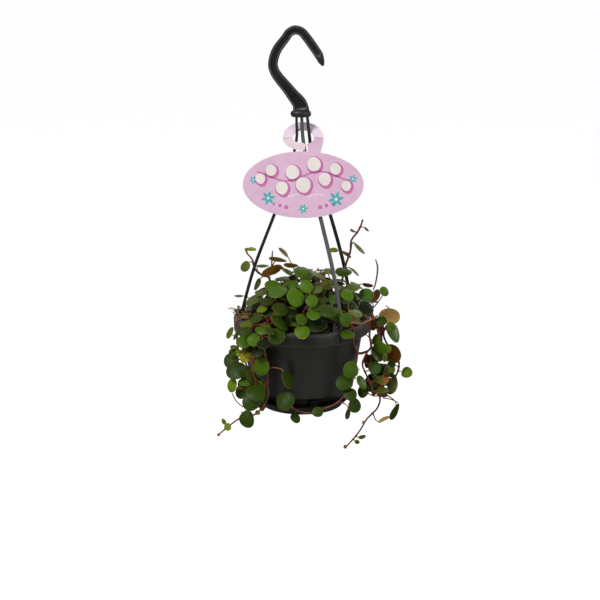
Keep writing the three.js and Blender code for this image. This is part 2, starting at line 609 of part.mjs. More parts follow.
const SEEN_LEAVES = [
  // left crown and young shoot
  leaf(251.5, 249, 9, 0.45, 0, { y: 4 }), leaf(245.5, 266, 11, 0.85, 60, { y: 4 }),
  leaf(284, 252.5, 13, 0.27, -47, { under: true, y: 0 }), leaf(278, 259.5, 18, 0.2, -10, { under: true, y: -2 }),
  leaf(262.5, 266, 13, 0.2, 0, { y: 11 }), leaf(272, 270, 22, 0.36, 20, { under: true, y: -6 }),
  leaf(287, 271, 14, 0.3, -30), leaf(273.5, 285.5, 16.5, 0.68, -10), leaf(257.5, 284, 13, 0.4, 65),
  leaf(262, 291.5, 15, 0.4, 10), leaf(253, 300, 18, 0.45, 30, { over: true }), leaf(239, 296, 8.5, 0.25, 0, { y: 8 }),
  leaf(284, 286, 14, 0.6, 0, { back: 9 }), leaf(272, 293, 14, 0.5, 5, { back: 7 }),
  // middle crown
  leaf(291, 265, 14, 0.3, -5, { under: true, y: -10 }), leaf(304, 273.5, 20, 0.6, -35),
  leaf(306.5, 286.5, 13.5, 0.95, 0), leaf(296, 297, 19, 0.88, -45), leaf(311.5, 300.5, 13, 0.92, 0),
  leaf(327, 283.5, 8.5, 0.85, 90), leaf(318.5, 275, 16, 0.25, -25), leaf(329, 270.5, 10, 0.5, 0),
  leaf(343.5, 271.5, 17, 0.52, 0), leaf(334, 250, 9, 0.55, 0, { y: 6 }),
  leaf(346.5, 254.5, 11, 0.17, -30, { under: true, y: 1 }), leaf(346.5, 294, 14.5, 0.72, -20),
  leaf(317, 289, 12, 0.6, 25, { back: 4 }), leaf(316, 281, 13, 0.5, 10, { back: 14 }),
  // right crown and tall shoot
  leaf(352.5, 230.5, 5.5, 0.45, -35, { y: 0 }), leaf(366.5, 229, 6, 0.35, -45, { y: 5 }),
  leaf(359, 248, 16, 0.19, -46, { y: 2 }), leaf(353.5, 271, 13.5, 0.16, -42), leaf(366, 295.5, 15, 0.95, 0),
  leaf(367.5, 285, 11, 0.32, -10, { under: true }), leaf(384, 291.5, 11, 0.75, -45),
  leaf(353, 287, 14, 0.65, 0, { back: 3 }), leaf(375, 296, 14, 0.6, 60, { under: true, back: 5 }),
  leaf(372, 301.5, 14, 0.2, -5, { back: 6 }), leaf(366.5, 308, 16, 0.75, -30, { back: 7 }),
  // over the left rim
  leaf(267, 300.5, 14.5, 0.48, 0), leaf(262, 308.5, 11.5, 0.55, 20), leaf(260, 315, 16, 0.55, 15),
  leaf(280, 308.5, 17.5, 0.62, -30), leaf(280, 322, 21, 0.4, -40), leaf(248, 323, 16.5, 0.4, 15),
  leaf(263, 328, 15.5, 0.78, 15), leaf(276, 335.5, 17.5, 0.95, 0, { out: 71 }),
  leaf(254, 339, 13.5, 0.95, 0, { out: 73 }), leaf(244, 341, 15, 0.85, 0), leaf(230, 332.5, 13, 0.42, 62),
  leaf(237.5, 333, 14, 0.28, 52, { y: -39 }), leaf(234, 347, 8, 0.5, 0), leaf(239.5, 352.5, 9.5, 0.75, 0),
  leaf(246.5, 355, 5.5, 0.9, 0), leaf(246, 330, 11, 0.8, 0, { y: -50 }), leaf(263, 343, 13, 0.7, 0),
  leaf(249, 350, 13, 0.6, 0, { back: 3 }), leaf(270, 330, 11, 0.6, -20, { back: 3 }),
  leaf(256, 318, 13, 0.5, 20, { back: 7 }), leaf(269, 313, 13, 0.6, 0, { back: 8 }),
  leaf(246, 316, 10, 0.5, 20, { back: 8 }),
  leaf(258, 351, 13, 0.7, 20, { back: 4 }), leaf(291, 312, 14, 0.6, 10, { back: 9 }),
  // over the front and right rim
  leaf(322, 306.5, 16, 0.45, 0), leaf(329, 310.5, 16, 0.75, 0), leaf(314, 313.5, 15.5, 0.65, 10),
  leaf(301.5, 318.5, 13, 0.72, -35), leaf(302, 331, 15.5, 0.85, 0, { out: 67 }), leaf(334, 299, 13, 0.7, 0, { back: 3 }),
  leaf(346.5, 319.5, 14.5, 0.8, 90, { out: 65 }), leaf(347.5, 333.5, 15, 0.55, -5),
  leaf(355.5, 312.5, 14.5, 0.45, -15), leaf(351, 305, 14, 0.7, -30, { back: 8 }),
  leaf(323, 327, 15, 0.7, 0, { back: 12 }), leaf(313, 322, 14, 0.6, 0, { back: 12 }),
  leaf(389, 316, 22, 0.68, -15, { under: true, y: -12 }), leaf(381, 320.5, 11, 0.9, 0, { y: -21 }),
  leaf(391, 327, 11, 0.8, 90, { y: -20 }), leaf(393.5, 332, 21.5, 0.55, -65, { y: -12 }),
  leaf(375.5, 339, 11.5, 0.5, 60, { y: -17 }), leaf(373, 324, 13, 0.65, 90, { under: true, y: 7 }),
  // left trails
  leaf(261.3, 366, 19, 0.85, 100, { out: 67 }), leaf(231.5, 360.5, 16, 0.9, 30, { y: -27 }),
  leaf(236, 369.8, 20.5, 0.85, 20, { y: -39 }), leaf(232.3, 385.2, 14, 0.7, 80, { y: -40 }),
  leaf(247.5, 378, 14, 0.85, 35, { y: -48 }), leaf(255.7, 391.3, 19.5, 0.8, 0, { y: -53 }),
  leaf(241, 391, 15.5, 0.7, 75, { y: -38 }), leaf(251.7, 401, 18.5, 0.98, 0, { y: -50 }),
  leaf(246.5, 418.5, 17, 0.92, 90, { y: -47 }), leaf(227.5, 426.5, 8, 0.85, 60, { y: -44 }),
  leaf(223.8, 421.5, 6.5, 0.55, -60, { y: -43 }), leaf(287.5, 378, 20, 0.5, -72, { out: 60 }),
  leaf(285.5, 401, 19.5, 0.9, 45, { out: 57 }), leaf(295.5, 417.5, 11, 0.8, -50, { y: -52 }),
  leaf(317.8, 411.5, 11, 0.95, 0, { y: -53 }), leaf(262.5, 407, 8, 0.7, 70, { under: true, y: -42 }),
  // right trails
  leaf(367.5, 361, 14, 0.45, 85, { under: true, y: -20 }), leaf(375.5, 356, 13.5, 0.3, -50, { y: -20 }),
  leaf(378.5, 355, 14, 0.85, 90, { y: -15 }), leaf(385, 357, 9, 0.6, 90, { y: -18 }),
  leaf(392.5, 353, 19, 0.8, -70, { under: true, y: -3 }), leaf(406.5, 372.5, 11.5, 0.9, 30, { y: 0 }),
  leaf(351.3, 369.5, 17, 0.93, 90, { y: -53 }), leaf(344.5, 382, 16.5, 0.92, 0, { y: -51 }),
  leaf(361.5, 382, 15, 0.55, -65, { y: -46 }), leaf(363, 391, 13, 0.8, 60, { y: -38 }),
  leaf(350, 393.5, 14, 0.85, 0, { y: -51 }), leaf(354.5, 405, 15, 0.85, 80, { y: -49 }),
  leaf(348, 413, 12, 0.42, 80, { y: -50 }), leaf(371.5, 382, 19, 0.7, 85, { y: -18 }),
  leaf(383, 368.5, 15, 0.6, 0, { y: -7 }), leaf(387, 371, 12, 0.6, 80, { y: -12 }),
  leaf(391.5, 370, 7, 0.8, 0, { y: -15 }), leaf(384, 380, 12.5, 0.7, 60, { under: true, y: -17 }),
  leaf(374.5, 377, 9, 0.35, -65, { y: -22 }), leaf(392, 385, 20, 0.4, 70, { y: -7 }),
  leaf(381, 390, 16, 0.32, 0, { y: -20 }), leaf(382, 394.5, 11, 0.55, 0, { under: true, y: -9 }),
  leaf(394.5, 411.5, 17.5, 0.28, 60, { y: -7 }), leaf(383.5, 419.5, 13, 0.35, 30, { under: true, y: -13 }),
  leaf(362, 437, 8, 0.4, 15, { y: -14 }), leaf(357, 442, 5, 0.85, 0, { y: -14 }),
];

// Leaves that the photograph doesn't show: over the crown and the back of the dome, and in two shells
// inside it, each a share of the dome's size
const HIDDEN = { dome: 52, seed: 5, largest: 18, smallest: 10 };
const INSIDE = [{ count: 30, share: 0.8 }, { count: 14, share: 0.58 }];
const BACK_START = -6;            // the dome's own leaves start behind this depth
const PLACES_PER_TRAIL_LEAF = 6;

// In the photograph, what these leaves stay behind: the oval of the crown and the upright of the pot
const CROWN_VIEW = { u: 311, v: 325, wide: 67, high: 57 };
const POT_VIEW = { wide: 55, top: 320, bottom: 402 };

function randomFrom(seed) {
  let state = seed;
  return () => {
    state = (state * 1664525 + 1013904223) % 4294967296;
    return state / 4294967296;
  };
}

// Place, facing and radius of a leaf seen in the photograph
function placedLeaf(sight) {
  const line = sightLine(sight.u, sight.v);
  let near;
  if (sight.y !== undefined) {
    near = (sight.y - line.start.y) / line.step.y;
  } else if (sight.out !== undefined || sight.v > RIM_ROW) {
    const out = sight.out ?? SKIRT_RADIUS;
    near = nearSide(line, vec(0, 0, 0), vec(out, out, 1e6));
  } else {
    near = nearSide(line, CANOPY.centre, CANOPY.half);
  }
  near -= sight.back ?? 0;
  const turn = radians(sight.turn);
  const minor = RIGHT.clone().multiplyScalar(-Math.sin(turn)).addScaledVector(UP_IN_VIEW, Math.cos(turn));
  if (minor.z + 0.3 * minor.x * Math.sign(sight.u - PHOTO.u) < 0) {
    minor.negate();
  }
  const normal = minor.multiplyScalar(Math.sqrt(1 - sight.open ** 2));
  normal.addScaledVector(TO_CAMERA, sight.under ? -sight.open : sight.open).normalize();
  const radius = (sight.size / 2) * ((PHOTO.distance - near) / PHOTO.focal);
  return { line, near, normal, radius, behind: sight.back ?? 0, over: sight.over, centre: alongSight(line, near) };
}

// Leaves of the dome's crown, back and inside, spread evenly by the golden angle
function hiddenLeaves(random) {
  const leaves = [];
  const golden = Math.PI * (3 - Math.sqrt(5));
  const add = (centre, outward) => {
    const normal = outward.clone().multiplyScalar(0.7).add(vec(0, 0, 0.8));
    normal.add(vec(random() - 0.5, random() - 0.5, random() - 0.5).multiplyScalar(0.7)).normalize();
    const size = THREE.MathUtils.lerp(HIDDEN.smallest, HIDDEN.largest, Math.sqrt(random()));
    const line = { start: centre.clone(), step: outward };
    leaves.push({ line, near: 0, normal, radius: size / 2, behind: 20, centre, hidden: true });
  };
  for (let i = 0; i < HIDDEN.dome; i += 1) {
    const rise = 0.03 + (0.96 * (i + 0.5)) / HIDDEN.dome;
    const ring = Math.sqrt(Math.max(0, 1 - rise * rise));
    const outward = vec(ring * Math.cos(i * golden), ring * Math.sin(i * golden), rise);
    const centre = outward.clone().multiply(CANOPY.half).multiplyScalar(1 - 0.1 * random()).add(CANOPY.centre);
    if (centre.y > BACK_START) {
      add(centre, outward);
    }
  }
  for (const { count, share } of INSIDE) {
    for (let i = 0; i < count; i += 1) {
      const rise = 0.12 + (0.83 * (i + 0.5)) / count;
      const ring = Math.sqrt(1 - rise * rise);
      const outward = vec(ring * Math.cos(i * golden), ring * Math.sin(i * golden), rise);
      add(outward.clone().multiply(CANOPY.half).multiplyScalar(share).add(CANOPY.centre), outward);
    }
  }
  return leaves;
}

// Whether a leaf that the photograph doesn't show stays behind what it shows
function staysBehind({ centre, normal, radius }) {
  const across = normal.clone().cross(UP_IN_VIEW).normalize();
  const along = across.clone().cross(normal);
  for (let k = 0; k < 8; k += 1) {
    const turn = (2 * Math.PI * k) / 8;
    const edge = centre.clone().addScaledVector(across, radius * Math.cos(turn));
    edge.addScaledVector(along, radius * Math.sin(turn));
    const scale = PHOTO.focal / (PHOTO.distance - edge.dot(TO_CAMERA));
    const u = PHOTO.u + scale * edge.x;
    const v = PHOTO.v - scale * edge.dot(UP_IN_VIEW);
    const inCrown = ((u - CROWN_VIEW.u) / CROWN_VIEW.wide) ** 2 + ((v - CROWN_VIEW.v) / CROWN_VIEW.high) ** 2 < 1;
    const behindPot = Math.abs(u - PHOTO.u) < POT_VIEW.wide && v > POT_VIEW.top && v < POT_VIEW.bottom;
    if (!inCrown && !behindPot) {
      return false;
    }
  }
  return true;
}

// Leaves down a trailing stem at the back, one on each side in turn
function trailLeaves(stem, random) {
  const leaves = [];
  const outside = stem.places.filter((place) => Math.hypot(place.x, place.y) > RIM_RADIUS);
  let side = 1;
  for (let i = 0; i < outside.length; i += PLACES_PER_TRAIL_LEAF) {
    const point = outside[i];
    const outward = vec(point.x, point.y, 0).normalize();
    const across = vec(-outward.y, outward.x, 0);
    const size = THREE.MathUtils.lerp(17, 9, (i / outside.length) * random());
    const centre = point.clone().addScaledVector(across, side * (size / 2 + 2.5)).addScaledVector(outward, 2.5);
    const normal = outward.clone().addScaledVector(across, 0.35 * side).add(vec(0, 0, 0.5 * random())).normalize();
    const line = { start: centre.clone(), step: outward };
    leaves.push({ line, near: 0, normal, radius: size / 2, behind: 10, centre, stem, hidden: true });
    side = -side;
  }
  return leaves;
}

// One leaf as a closed mesh: a shallow dome with a flat edge, and, where a path is given, its stalk grown
// out of the edge with three sides. A grown copy, with no stalk or a stalk alone, tests the space round it.
function leafGeometry(place, towardsBase, path, grow = 0) {
  const { centre, normal, radius } = place;
  const sides = LEAF_SIDES;
  const size = radius + grow;
  const half = LEAF_THICKNESS / 2 + grow;
  const rise = LEAF_DOME * radius;
  const side = normal.clone().cross(towardsBase);
  const positions = [];
  const put = (angle, height) => {
    const pointed = 1 + 0.07 * Math.max(0, -Math.cos(angle)) ** 3 - 0.02 * Math.cos(angle);
    const corner = centre.clone().addScaledVector(towardsBase, size * pointed * Math.cos(angle));
    corner.addScaledVector(side, size * pointed * Math.sin(angle)).addScaledVector(normal, height);
    positions.push(...corner.toArray());
    return positions.length / 3 - 1;
  };
  const split = STALK_RADIUS / radius;
  const middle = (height) => {
    positions.push(...centre.clone().addScaledVector(normal, height).toArray());
    return positions.length / 3 - 1;
  };
  const steps = Array.from({ length: sides - 1 }, (_, k) => (2 * Math.PI * (k + 1)) / sides);
  const top = [split, ...steps, 2 * Math.PI - split].map((angle) => put(angle, half));
  const bottom = [0, ...steps].map((angle) => put(angle, -half));
  const topMiddle = middle(half + rise);
  const bottomMiddle = middle(rise - half);
  const triangles = [];
  top.forEach((corner, i) => triangles.push(topMiddle, corner, top[(i + 1) % top.length]));
  bottom.forEach((corner, i) => triangles.push(bottomMiddle, bottom[(i + 1) % bottom.length], corner));
  for (let i = 0; i < sides; i += 1) {
    const [a, b, c, d] = [top[i], top[i + 1], bottom[(i + 1) % sides], bottom[i]];
    triangles.push(a, d, c, a, c, b);
  }
  let ring = [top[sides], bottom[0], top[0]];
  if (path) {
    const up = normal.clone();
    for (let j = 1; j < path.length; j += 1) {
      const ahead = path[Math.min(j + 1, path.length - 1)].clone().sub(path[j - 1]).normalize();
      up.addScaledVector(ahead, -up.dot(ahead)).normalize();
      const across = up.clone().cross(ahead);
      const next = [[-0.87, 0.5], [0, -1], [0.87, 0.5]].map(([s, h]) => {
        const corner = path[j].clone().addScaledVector(across, s * STALK_RADIUS).addScaledVector(up, h * STALK_RADIUS);
        positions.push(...corner.toArray());
        return positions.length / 3 - 1;
      });
      ring.forEach((corner, k) => {
        const after = (k + 1) % 3;
        triangles.push(corner, ring[after], next[after], corner, next[after], next[k]);
      });
      ring = next;
    }
  }
  triangles.push(...ring);
  const geometry = new THREE.BufferGeometry();
  geometry.setAttribute("position", new THREE.Float32BufferAttribute(positions, 3));
  geometry.setIndex(triangles);
  return geometry;
}

// A closed solid straight from a mesh whose corners are already shared
function quickSolid(geometry) {
  return new wasm.Manifold(new wasm.Mesh({
    numProp: 3,
    vertProperties: new Float32Array(geometry.attributes.position.array),
    triVerts: new Uint32Array(geometry.index.array),
  }));
}

// What already stands in the space, each with its box and its solid, and its stem where it is one
class Space {
  constructor() {
    this.items = [];
  }

  add(geometry, stem) {
    geometry.computeBoundingBox();
    this.items.push({ box: geometry.boundingBox, solid: quickSolid(geometry), stem });
  }

  blocked(geometry, except) {
    geometry.computeBoundingBox();
    const near = this.items.filter((item) => !except(item) && item.box.intersectsBox(geometry.boundingBox));
    if (near.length === 0) {
      return false;
    }
    const probe = quickSolid(geometry);
    return near.some((item) => !probe.intersect(item.solid).isEmpty());
  }
}

// The stalk's path from the leaf's base to a point on the stem
function stalkPath(place, base, anchor, towardsBase) {
  const reach = base.distanceTo(anchor);
  const bend = base.clone().addScaledVector(towardsBase, 0.42 * reach).addScaledVector(place.normal, -0.06 * reach);
  const curve = new THREE.QuadraticBezierCurve3(base, bend, anchor);
  return curve.getPoints(reach > 15 ? 3 : 2);
}

function crossesOwnBlade(place, path) {
  const curve = new THREE.CatmullRomCurve3(path);
  return curve.getPoints(12).some((point) => {
    const from = point.clone().sub(place.centre);
    const height = from.dot(place.normal);
    const flat = from.addScaledVector(place.normal, -height).length();
    const surface = LEAF_DOME * place.radius * Math.max(0, 1 - flat / place.radius);
    return flat < 0.94 * place.radius && Math.abs(height - surface) < 1.6;
  });
}

const PUSHES = [0, -2, 2, -4, 4, -6.5, 6.5, -9, -12, 9, -15, 12, 15, 18, 21, 24, 27];
const SLIDES = [0, -2, 2, -4, 4, -7];

// Finds room for a leaf and its stalk, bent clear of everything, and grows it onto the nearest fit stem
function growLeaf(place, stems, space) {
  const choices = place.stem ? [place.stem] : stems;
  for (const push of PUSHES) {
    const centre = place.line.start.clone().addScaledVector(place.line.step, place.near + push);
    const moved = { ...place, centre };
    if (place.hidden && !staysBehind(moved)) {
      continue;
    }
    const ranked = choices.map((stem) => {
      let best = { cost: Infinity };
      stem.places.forEach((point, i) => {
        const from = point.clone().sub(centre);
        const cost = from.length() + 0.8 * Math.max(0, from.dot(place.normal));
        if (cost < best.cost) {
          best = { cost, stem, nearest: i };
        }
      });
      return best;
    });
    ranked.sort((one, other) => one.cost - other.cost);
    const down = ranked[0].stem.places[ranked[0].nearest].clone().sub(centre);
    const flat = down.addScaledVector(place.normal, -down.dot(place.normal)).normalize();
    if (space.blocked(leafGeometry(moved, flat, null, CLEARANCE), () => false)) {
      continue;
    }
    for (const { stem, nearest } of ranked.slice(0, 4)) {
      for (const slide of SLIDES) {
        const anchor = stem.places[THREE.MathUtils.clamp(nearest + slide, 0, stem.places.length - 2)];
        const towardsBase = anchor.clone().sub(centre);
        towardsBase.addScaledVector(place.normal, -towardsBase.dot(place.normal)).normalize();
        const base = centre.clone().addScaledVector(towardsBase, 0.97 * place.radius);
        const path = stalkPath(moved, base, anchor, towardsBase);
        if (crossesOwnBlade(moved, path)) {
          continue;
        }
        const leafBlade = leafGeometry(moved, towardsBase, null, CLEARANCE);
        const stalk = tube(path, path.map(() => STALK_RADIUS + CLEARANCE), 4, place.normal);
        const own = (item) => item.stem === stem;
        if (space.blocked(leafBlade, () => false) || space.blocked(stalk, own)) {
          continue;
        }
        return { stem, geometry: leafGeometry(moved, towardsBase, path) };
      }
    }
  }
  return null;
}

// Keeps a leaf behind the arms that pass in front of it in the photograph
function behindArms(place, arms) {
  if (place.over || !place.line) {
    return;
  }
  for (const arm of arms) {
    for (const point of arm) {
      const away = point.clone().sub(place.centre);
      const depth = away.dot(TO_CAMERA);
      const beside = away.addScaledVector(TO_CAMERA, -depth).length();
      if (beside < place.radius + 2 && depth < 3) {
        place.near += depth - 3;
        place.centre = alongSight(place.line, place.near);
      }
    }
  }
}

function growLeaves(stems, fixed) {
  const space = new Space();
  fixed.forEach((geometry) => space.add(geometry, null));
  stems.forEach((stem) => {
    const geometry = stemGeometry(stem);
    stem.solids.push(quickSolid(geometry));
    space.add(geometry, stem);
  });
  const random = randomFrom(HIDDEN.seed);
  const arms = [ARMS.left, ARMS.front].map((arm) => armRoute(arm).getPoints(60));
  const seenOnes = SEEN_LEAVES.map(placedLeaf);
  seenOnes.forEach((place) => behindArms(place, arms));
  seenOnes.sort((one, other) => one.behind - other.behind);
  const trails = stems.filter((stem) => stem.name.startsWith("stem_trail_back"));
  const rest = [...trails.flatMap((stem) => trailLeaves(stem, random)), ...hiddenLeaves(random)];
  for (const place of [...seenOnes, ...rest]) {
    const grown = growLeaf(place, stems, space);
    if (grown) {
      grown.stem.solids.push(quickSolid(grown.geometry));
      space.add(grown.geometry, null);
    }
  }
}

// The whole object

const finish = (color, roughness) => new THREE.MeshStandardMaterial({ color, roughness, metalness: 0 });
const FINISHES = {
  pot: finish(0x232322, 0.5),
  saucer: finish(0x1c1c1b, 0.5),
  soil: finish(0x2e2119, 0.95),
  hanger: finish(0x1f2122, 0.45),
  tag: finish(0xddb4d0, 0.55),
  plant: finish(0x3f6a24, 0.5),
};

const object = new THREE.Group();
object.position.set(-HOOK_SEAT.x, 0, -HOOK_SEAT.z);

function addPiece(name, geometry, material) {
  const mesh = new THREE.Mesh(geometry, material);
  mesh.name = name;
  object.add(mesh);
}

const stems = makeStems();
const armAngles = Object.values(ARMS).map((arm) => arm.angle);
const potShape = potGeometry(armAngles);
const saucerShape = saucerGeometry();
const hangerShape = hangerGeometry();
const tagShape = tagGeometry();
growLeaves(stems, [potShape, saucerShape, soilGeometry([]), hangerShape, tagShape]);
const leafyStems = stems.filter((stem) => stem.solids.length > 1);
const soilShape = soilGeometry(leafyStems);

addPiece("pot", potShape, FINISHES.pot);
addPiece("saucer", saucerShape, FINISHES.saucer);
addPiece("soil", soilShape, FINISHES.soil);
addPiece("hanger", hangerShape, FINISHES.hanger);
addPiece("tag", tagShape, FINISHES.tag);
for (const stem of leafyStems) {
  const [first, ...rest] = stem.solids;
  addPiece(stem.name, toGeometry(rest.reduce((sum, solid) => sum.add(solid), first)), FINISHES.plant);
}

export default object;
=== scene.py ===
"""Looks of a trailing, round-leaved peperomia in a small hanging pot.

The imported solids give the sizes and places. Lengths named here are in millimetres in the pot's own
frame: +Z up, the origin at the middle of the rim. Each stem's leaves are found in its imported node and
made again with finer blades and stalks.
"""

from __future__ import annotations

import logging
import math
import random
from dataclasses import dataclass, field
from enum import Enum
from typing import Iterable, Sequence

import bpy
import numpy as np
from mathutils import Matrix, Vector


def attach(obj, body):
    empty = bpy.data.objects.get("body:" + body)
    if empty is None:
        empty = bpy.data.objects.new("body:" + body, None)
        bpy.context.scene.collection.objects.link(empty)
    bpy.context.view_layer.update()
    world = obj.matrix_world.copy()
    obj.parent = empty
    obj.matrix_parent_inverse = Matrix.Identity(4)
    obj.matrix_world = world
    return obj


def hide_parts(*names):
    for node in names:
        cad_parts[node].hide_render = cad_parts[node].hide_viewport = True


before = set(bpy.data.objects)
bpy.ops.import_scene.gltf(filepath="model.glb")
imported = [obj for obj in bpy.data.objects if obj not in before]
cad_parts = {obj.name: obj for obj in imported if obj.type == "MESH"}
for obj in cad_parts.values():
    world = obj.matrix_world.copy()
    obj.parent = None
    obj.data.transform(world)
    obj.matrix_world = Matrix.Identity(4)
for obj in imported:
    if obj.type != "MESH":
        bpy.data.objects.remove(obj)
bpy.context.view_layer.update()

log = logging.getLogger("peperomia")

MM = 0.001
RIM_CENTRE = Vector((5.6, 0.0, -255.6))
UP = np.array((0.0, 0.0, 1.0))
STALK_OUT = 0.42
STALK_DIP = 0.06

Piece = bpy.types.Object
Finish = bpy.types.Material
Socket = bpy.types.NodeSocket
Pair = tuple[float, float]
Pairs = tuple[Pair, ...]
Spot = tuple[float, float, float]
Spots = tuple[Spot, ...]
Outline = Sequence[Pair]
Face = tuple[int, ...]


# The photograph's camera


@dataclass(frozen=True)
class Photograph:
    """The view from which the photograph was taken, and its lines of sight."""

    width: float = 600.0
    rim_u: float = 302.0
    rim_v: float = 316.0
    focal: float = 1754.0
    distance: float = 1600.0
    pitch: float = math.radians(15)
    sensor: float = 36.0

    @property
    def up(self) -> np.ndarray:
        """The picture's upward direction."""
        return np.array((0.0, math.sin(self.pitch), math.cos(self.pitch)))

    @property
    def towards(self) -> np.ndarray:
        """The direction from the object to the camera."""
        return np.array((0.0, -math.cos(self.pitch), math.sin(self.pitch)))

    def seen(self, u: float, v: float, depth: float) -> np.ndarray:
        """The point seen at a pixel on the upright plane at a depth.

        Args:
            u: The pixel's column.
            v: The pixel's row.
            depth: The plane's place on Y, in the pot's frame.

        Returns:
            The point in the pot's frame.
        """
        across = (u - self.rim_u) / self.focal
        rise = (self.rim_v - v) / self.focal
        start = np.array((across, 0.0, 0.0)) * self.distance + self.up * rise * self.distance
        step = self.towards - np.array((across, 0.0, 0.0)) - self.up * rise
        return start + step * (depth - start[1]) / step[1]

    def pixel(self, point: np.ndarray) -> Pair:
        """The pixel at which a point of the pot's frame is seen."""
        away = self.distance - float(point @ self.towards)
        u = self.rim_u + self.focal * float(point[0]) / away
        return u, self.rim_v - self.focal * float(point @ self.up) / away

    def set_camera(self) -> None:
        """Puts the camera where the photograph was taken from, aimed at the picture's middle."""
        half = self.width / 2
        sideways = (half - self.rim_u) * self.distance / self.focal
        raised = (self.rim_v - half) * self.distance / self.focal
        place = RIM_CENTRE + Vector(self.towards) * self.distance + Vector(self.up) * raised
        place.x += sideways
        bpy.ops.object.camera_add(location=place * MM, rotation=(math.pi / 2 - self.pitch, 0, 0))
        camera = bpy.context.object
        camera.data.sensor_width = self.sensor
        camera.data.lens = self.focal * self.sensor / self.width
        camera.data.clip_start = 0.05
        camera.data.clip_end = 60
        bpy.context.scene.camera = camera


PHOTO = Photograph()


# Workshop: how pieces are started, shaped and handed over


def deselect_all() -> None:
    """Leaves nothing selected, so that an operator acts only on what comes next."""
    if bpy.context.object and bpy.context.object.mode != "OBJECT":
        bpy.ops.object.mode_set(mode="OBJECT")
    bpy.ops.object.select_all(action="DESELECT")


def pick(piece: Piece) -> None:
    """Selects one piece alone and makes it the active one."""
    deselect_all()
    piece.select_set(True)
    bpy.context.view_layer.objects.active = piece


def named(name: str) -> Piece:
    """Names the piece that was just added."""
    piece = bpy.context.object
    piece.name = name
    piece.data.name = name
    return piece


def settle(piece: Piece) -> Piece:
    """Moves a piece's place into its mesh, so that its object stands at the origin."""
    pick(piece)
    bpy.ops.object.transform_apply(location=True, rotation=True, scale=True)
    return piece


def apply_modifiers(piece: Piece) -> None:
    """Applies all of a piece's modifiers in order."""
    pick(piece)
    for modifier in list(piece.modifiers):
        bpy.ops.object.modifier_apply(modifier=modifier.name)


def soften(piece: Piece, width: float, angle: float = 35.0) -> Piece:
    """Rounds a piece's sharp edges and shades it smooth.

    Args:
        piece: The piece.
        width: The bevel's width in millimetres, or 0 for none.
        angle: Edges sharper than this many degrees are rounded.

    Returns:
        The same piece.
    """
    if width > 0:
        bevel = piece.modifiers.new("Soft edges", "BEVEL")
        bevel.width = width * MM
        bevel.segments = 2
        bevel.limit_method = "ANGLE"
        bevel.angle_limit = math.radians(angle)
        bevel.harden_normals = False
        apply_modifiers(piece)
    pick(piece)
    bpy.ops.object.shade_smooth_by_angle(angle=math.radians(angle))
    return piece


def carve(piece: Piece, tools: Iterable[Piece], operation: str = "DIFFERENCE") -> Piece:
    """Cuts tools out of a piece, or joins them to it, and removes the tools.

    Args:
        piece: The piece that is cut.
        tools: What cuts it, or is joined to it.
        operation: Which of the two is done.

    Returns:
        The same piece.
    """
    for tool in tools:
        cut = piece.modifiers.new("Cut", "BOOLEAN")
        cut.operation = operation
        cut.solver = "EXACT"
        cut.object = tool
        apply_modifiers(piece)
        bpy.data.objects.remove(tool)
    return piece


def open_mesh() -> None:
    """Opens the active piece's mesh, with everything in it selected."""
    bpy.ops.object.mode_set(mode="EDIT")
    bpy.ops.mesh.select_all(action="SELECT")


def close_mesh() -> None:
    """Turns all faces of the open mesh outwards and closes it."""
    bpy.ops.mesh.select_all(action="SELECT")
    bpy.ops.mesh.normals_make_consistent(inside=False)
    bpy.ops.object.mode_set(mode="OBJECT")


def face_outwards(piece: Piece, merge: float = 0.0) -> None:
    """Turns all of a piece's faces outwards, after corners closer than a distance are merged.

    Args:
        piece: The piece.
        merge: The distance, or 0 to merge nothing.
    """
    pick(piece)
    open_mesh()
    if merge:
        bpy.ops.mesh.remove_doubles(threshold=merge)
    close_mesh()


def dress(piece: Piece, *finishes: Finish) -> None:
    """Gives a piece its finishes, in order."""
    for finish in finishes:
        piece.data.materials.append(finish)


def merge_pieces(name: str, pieces: Sequence[Piece]) -> Piece:
    """Joins pieces into one object with one mesh.

    Args:
        name: The object's name.
        pieces: The pieces.

    Returns:
        The object.
    """
    deselect_all()
    for piece in pieces:
        piece.select_set(True)
    bpy.context.view_layer.objects.active = pieces[0]
    bpy.ops.object.join()
    return named(name)


def hand_over(piece: Piece, slot: str, *nodes: str) -> None:
    """Gives a finished piece to the frame: hangs it from the root body and hides the nodes that it stands
    for.

    Args:
        piece: The piece.
        slot: Not used.
        *nodes: The CAD nodes that it stands for.
    """
    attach(piece, "root")
    if nodes:
        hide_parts(*nodes)
    log.info("%s: %d faces", piece.name, len(piece.data.polygons))


def placed(x: float, y: float, z: float) -> Vector:
    """A point of the pot's frame, in millimetres, as a point of the row's frame in metres."""
    return (RIM_CENTRE + Vector((x, y, z))) * MM


def about_axis(angle: float, height: float = 0.0) -> Matrix:
    """The turn about the pot's axis by an angle in degrees, on to a height of the pot's frame."""
    return Matrix.Translation(placed(0, 0, height)) @ Matrix.Rotation(math.radians(angle), 4, "Z")


def cylinder(
    name: str, radius: float, depth: float, middle: Sequence[float], lying: bool = False, sides: int = 32
) -> Piece:
    """Starts a cylinder in the pot's frame.

    Args:
        name: The piece's name.
        radius: Its radius.
        depth: Its length.
        middle: Its middle.
        lying: Whether it lies along Y, and not upright.
        sides: How many corners its ends have.

    Returns:
        The new piece, with its place in its mesh.
    """
    deselect_all()
    bpy.ops.mesh.primitive_cylinder_add(
        vertices=sides, radius=radius * MM, depth=depth * MM,
        location=placed(*middle), rotation=(math.pi / 2 if lying else 0, 0, 0),
    )
    return settle(named(name))


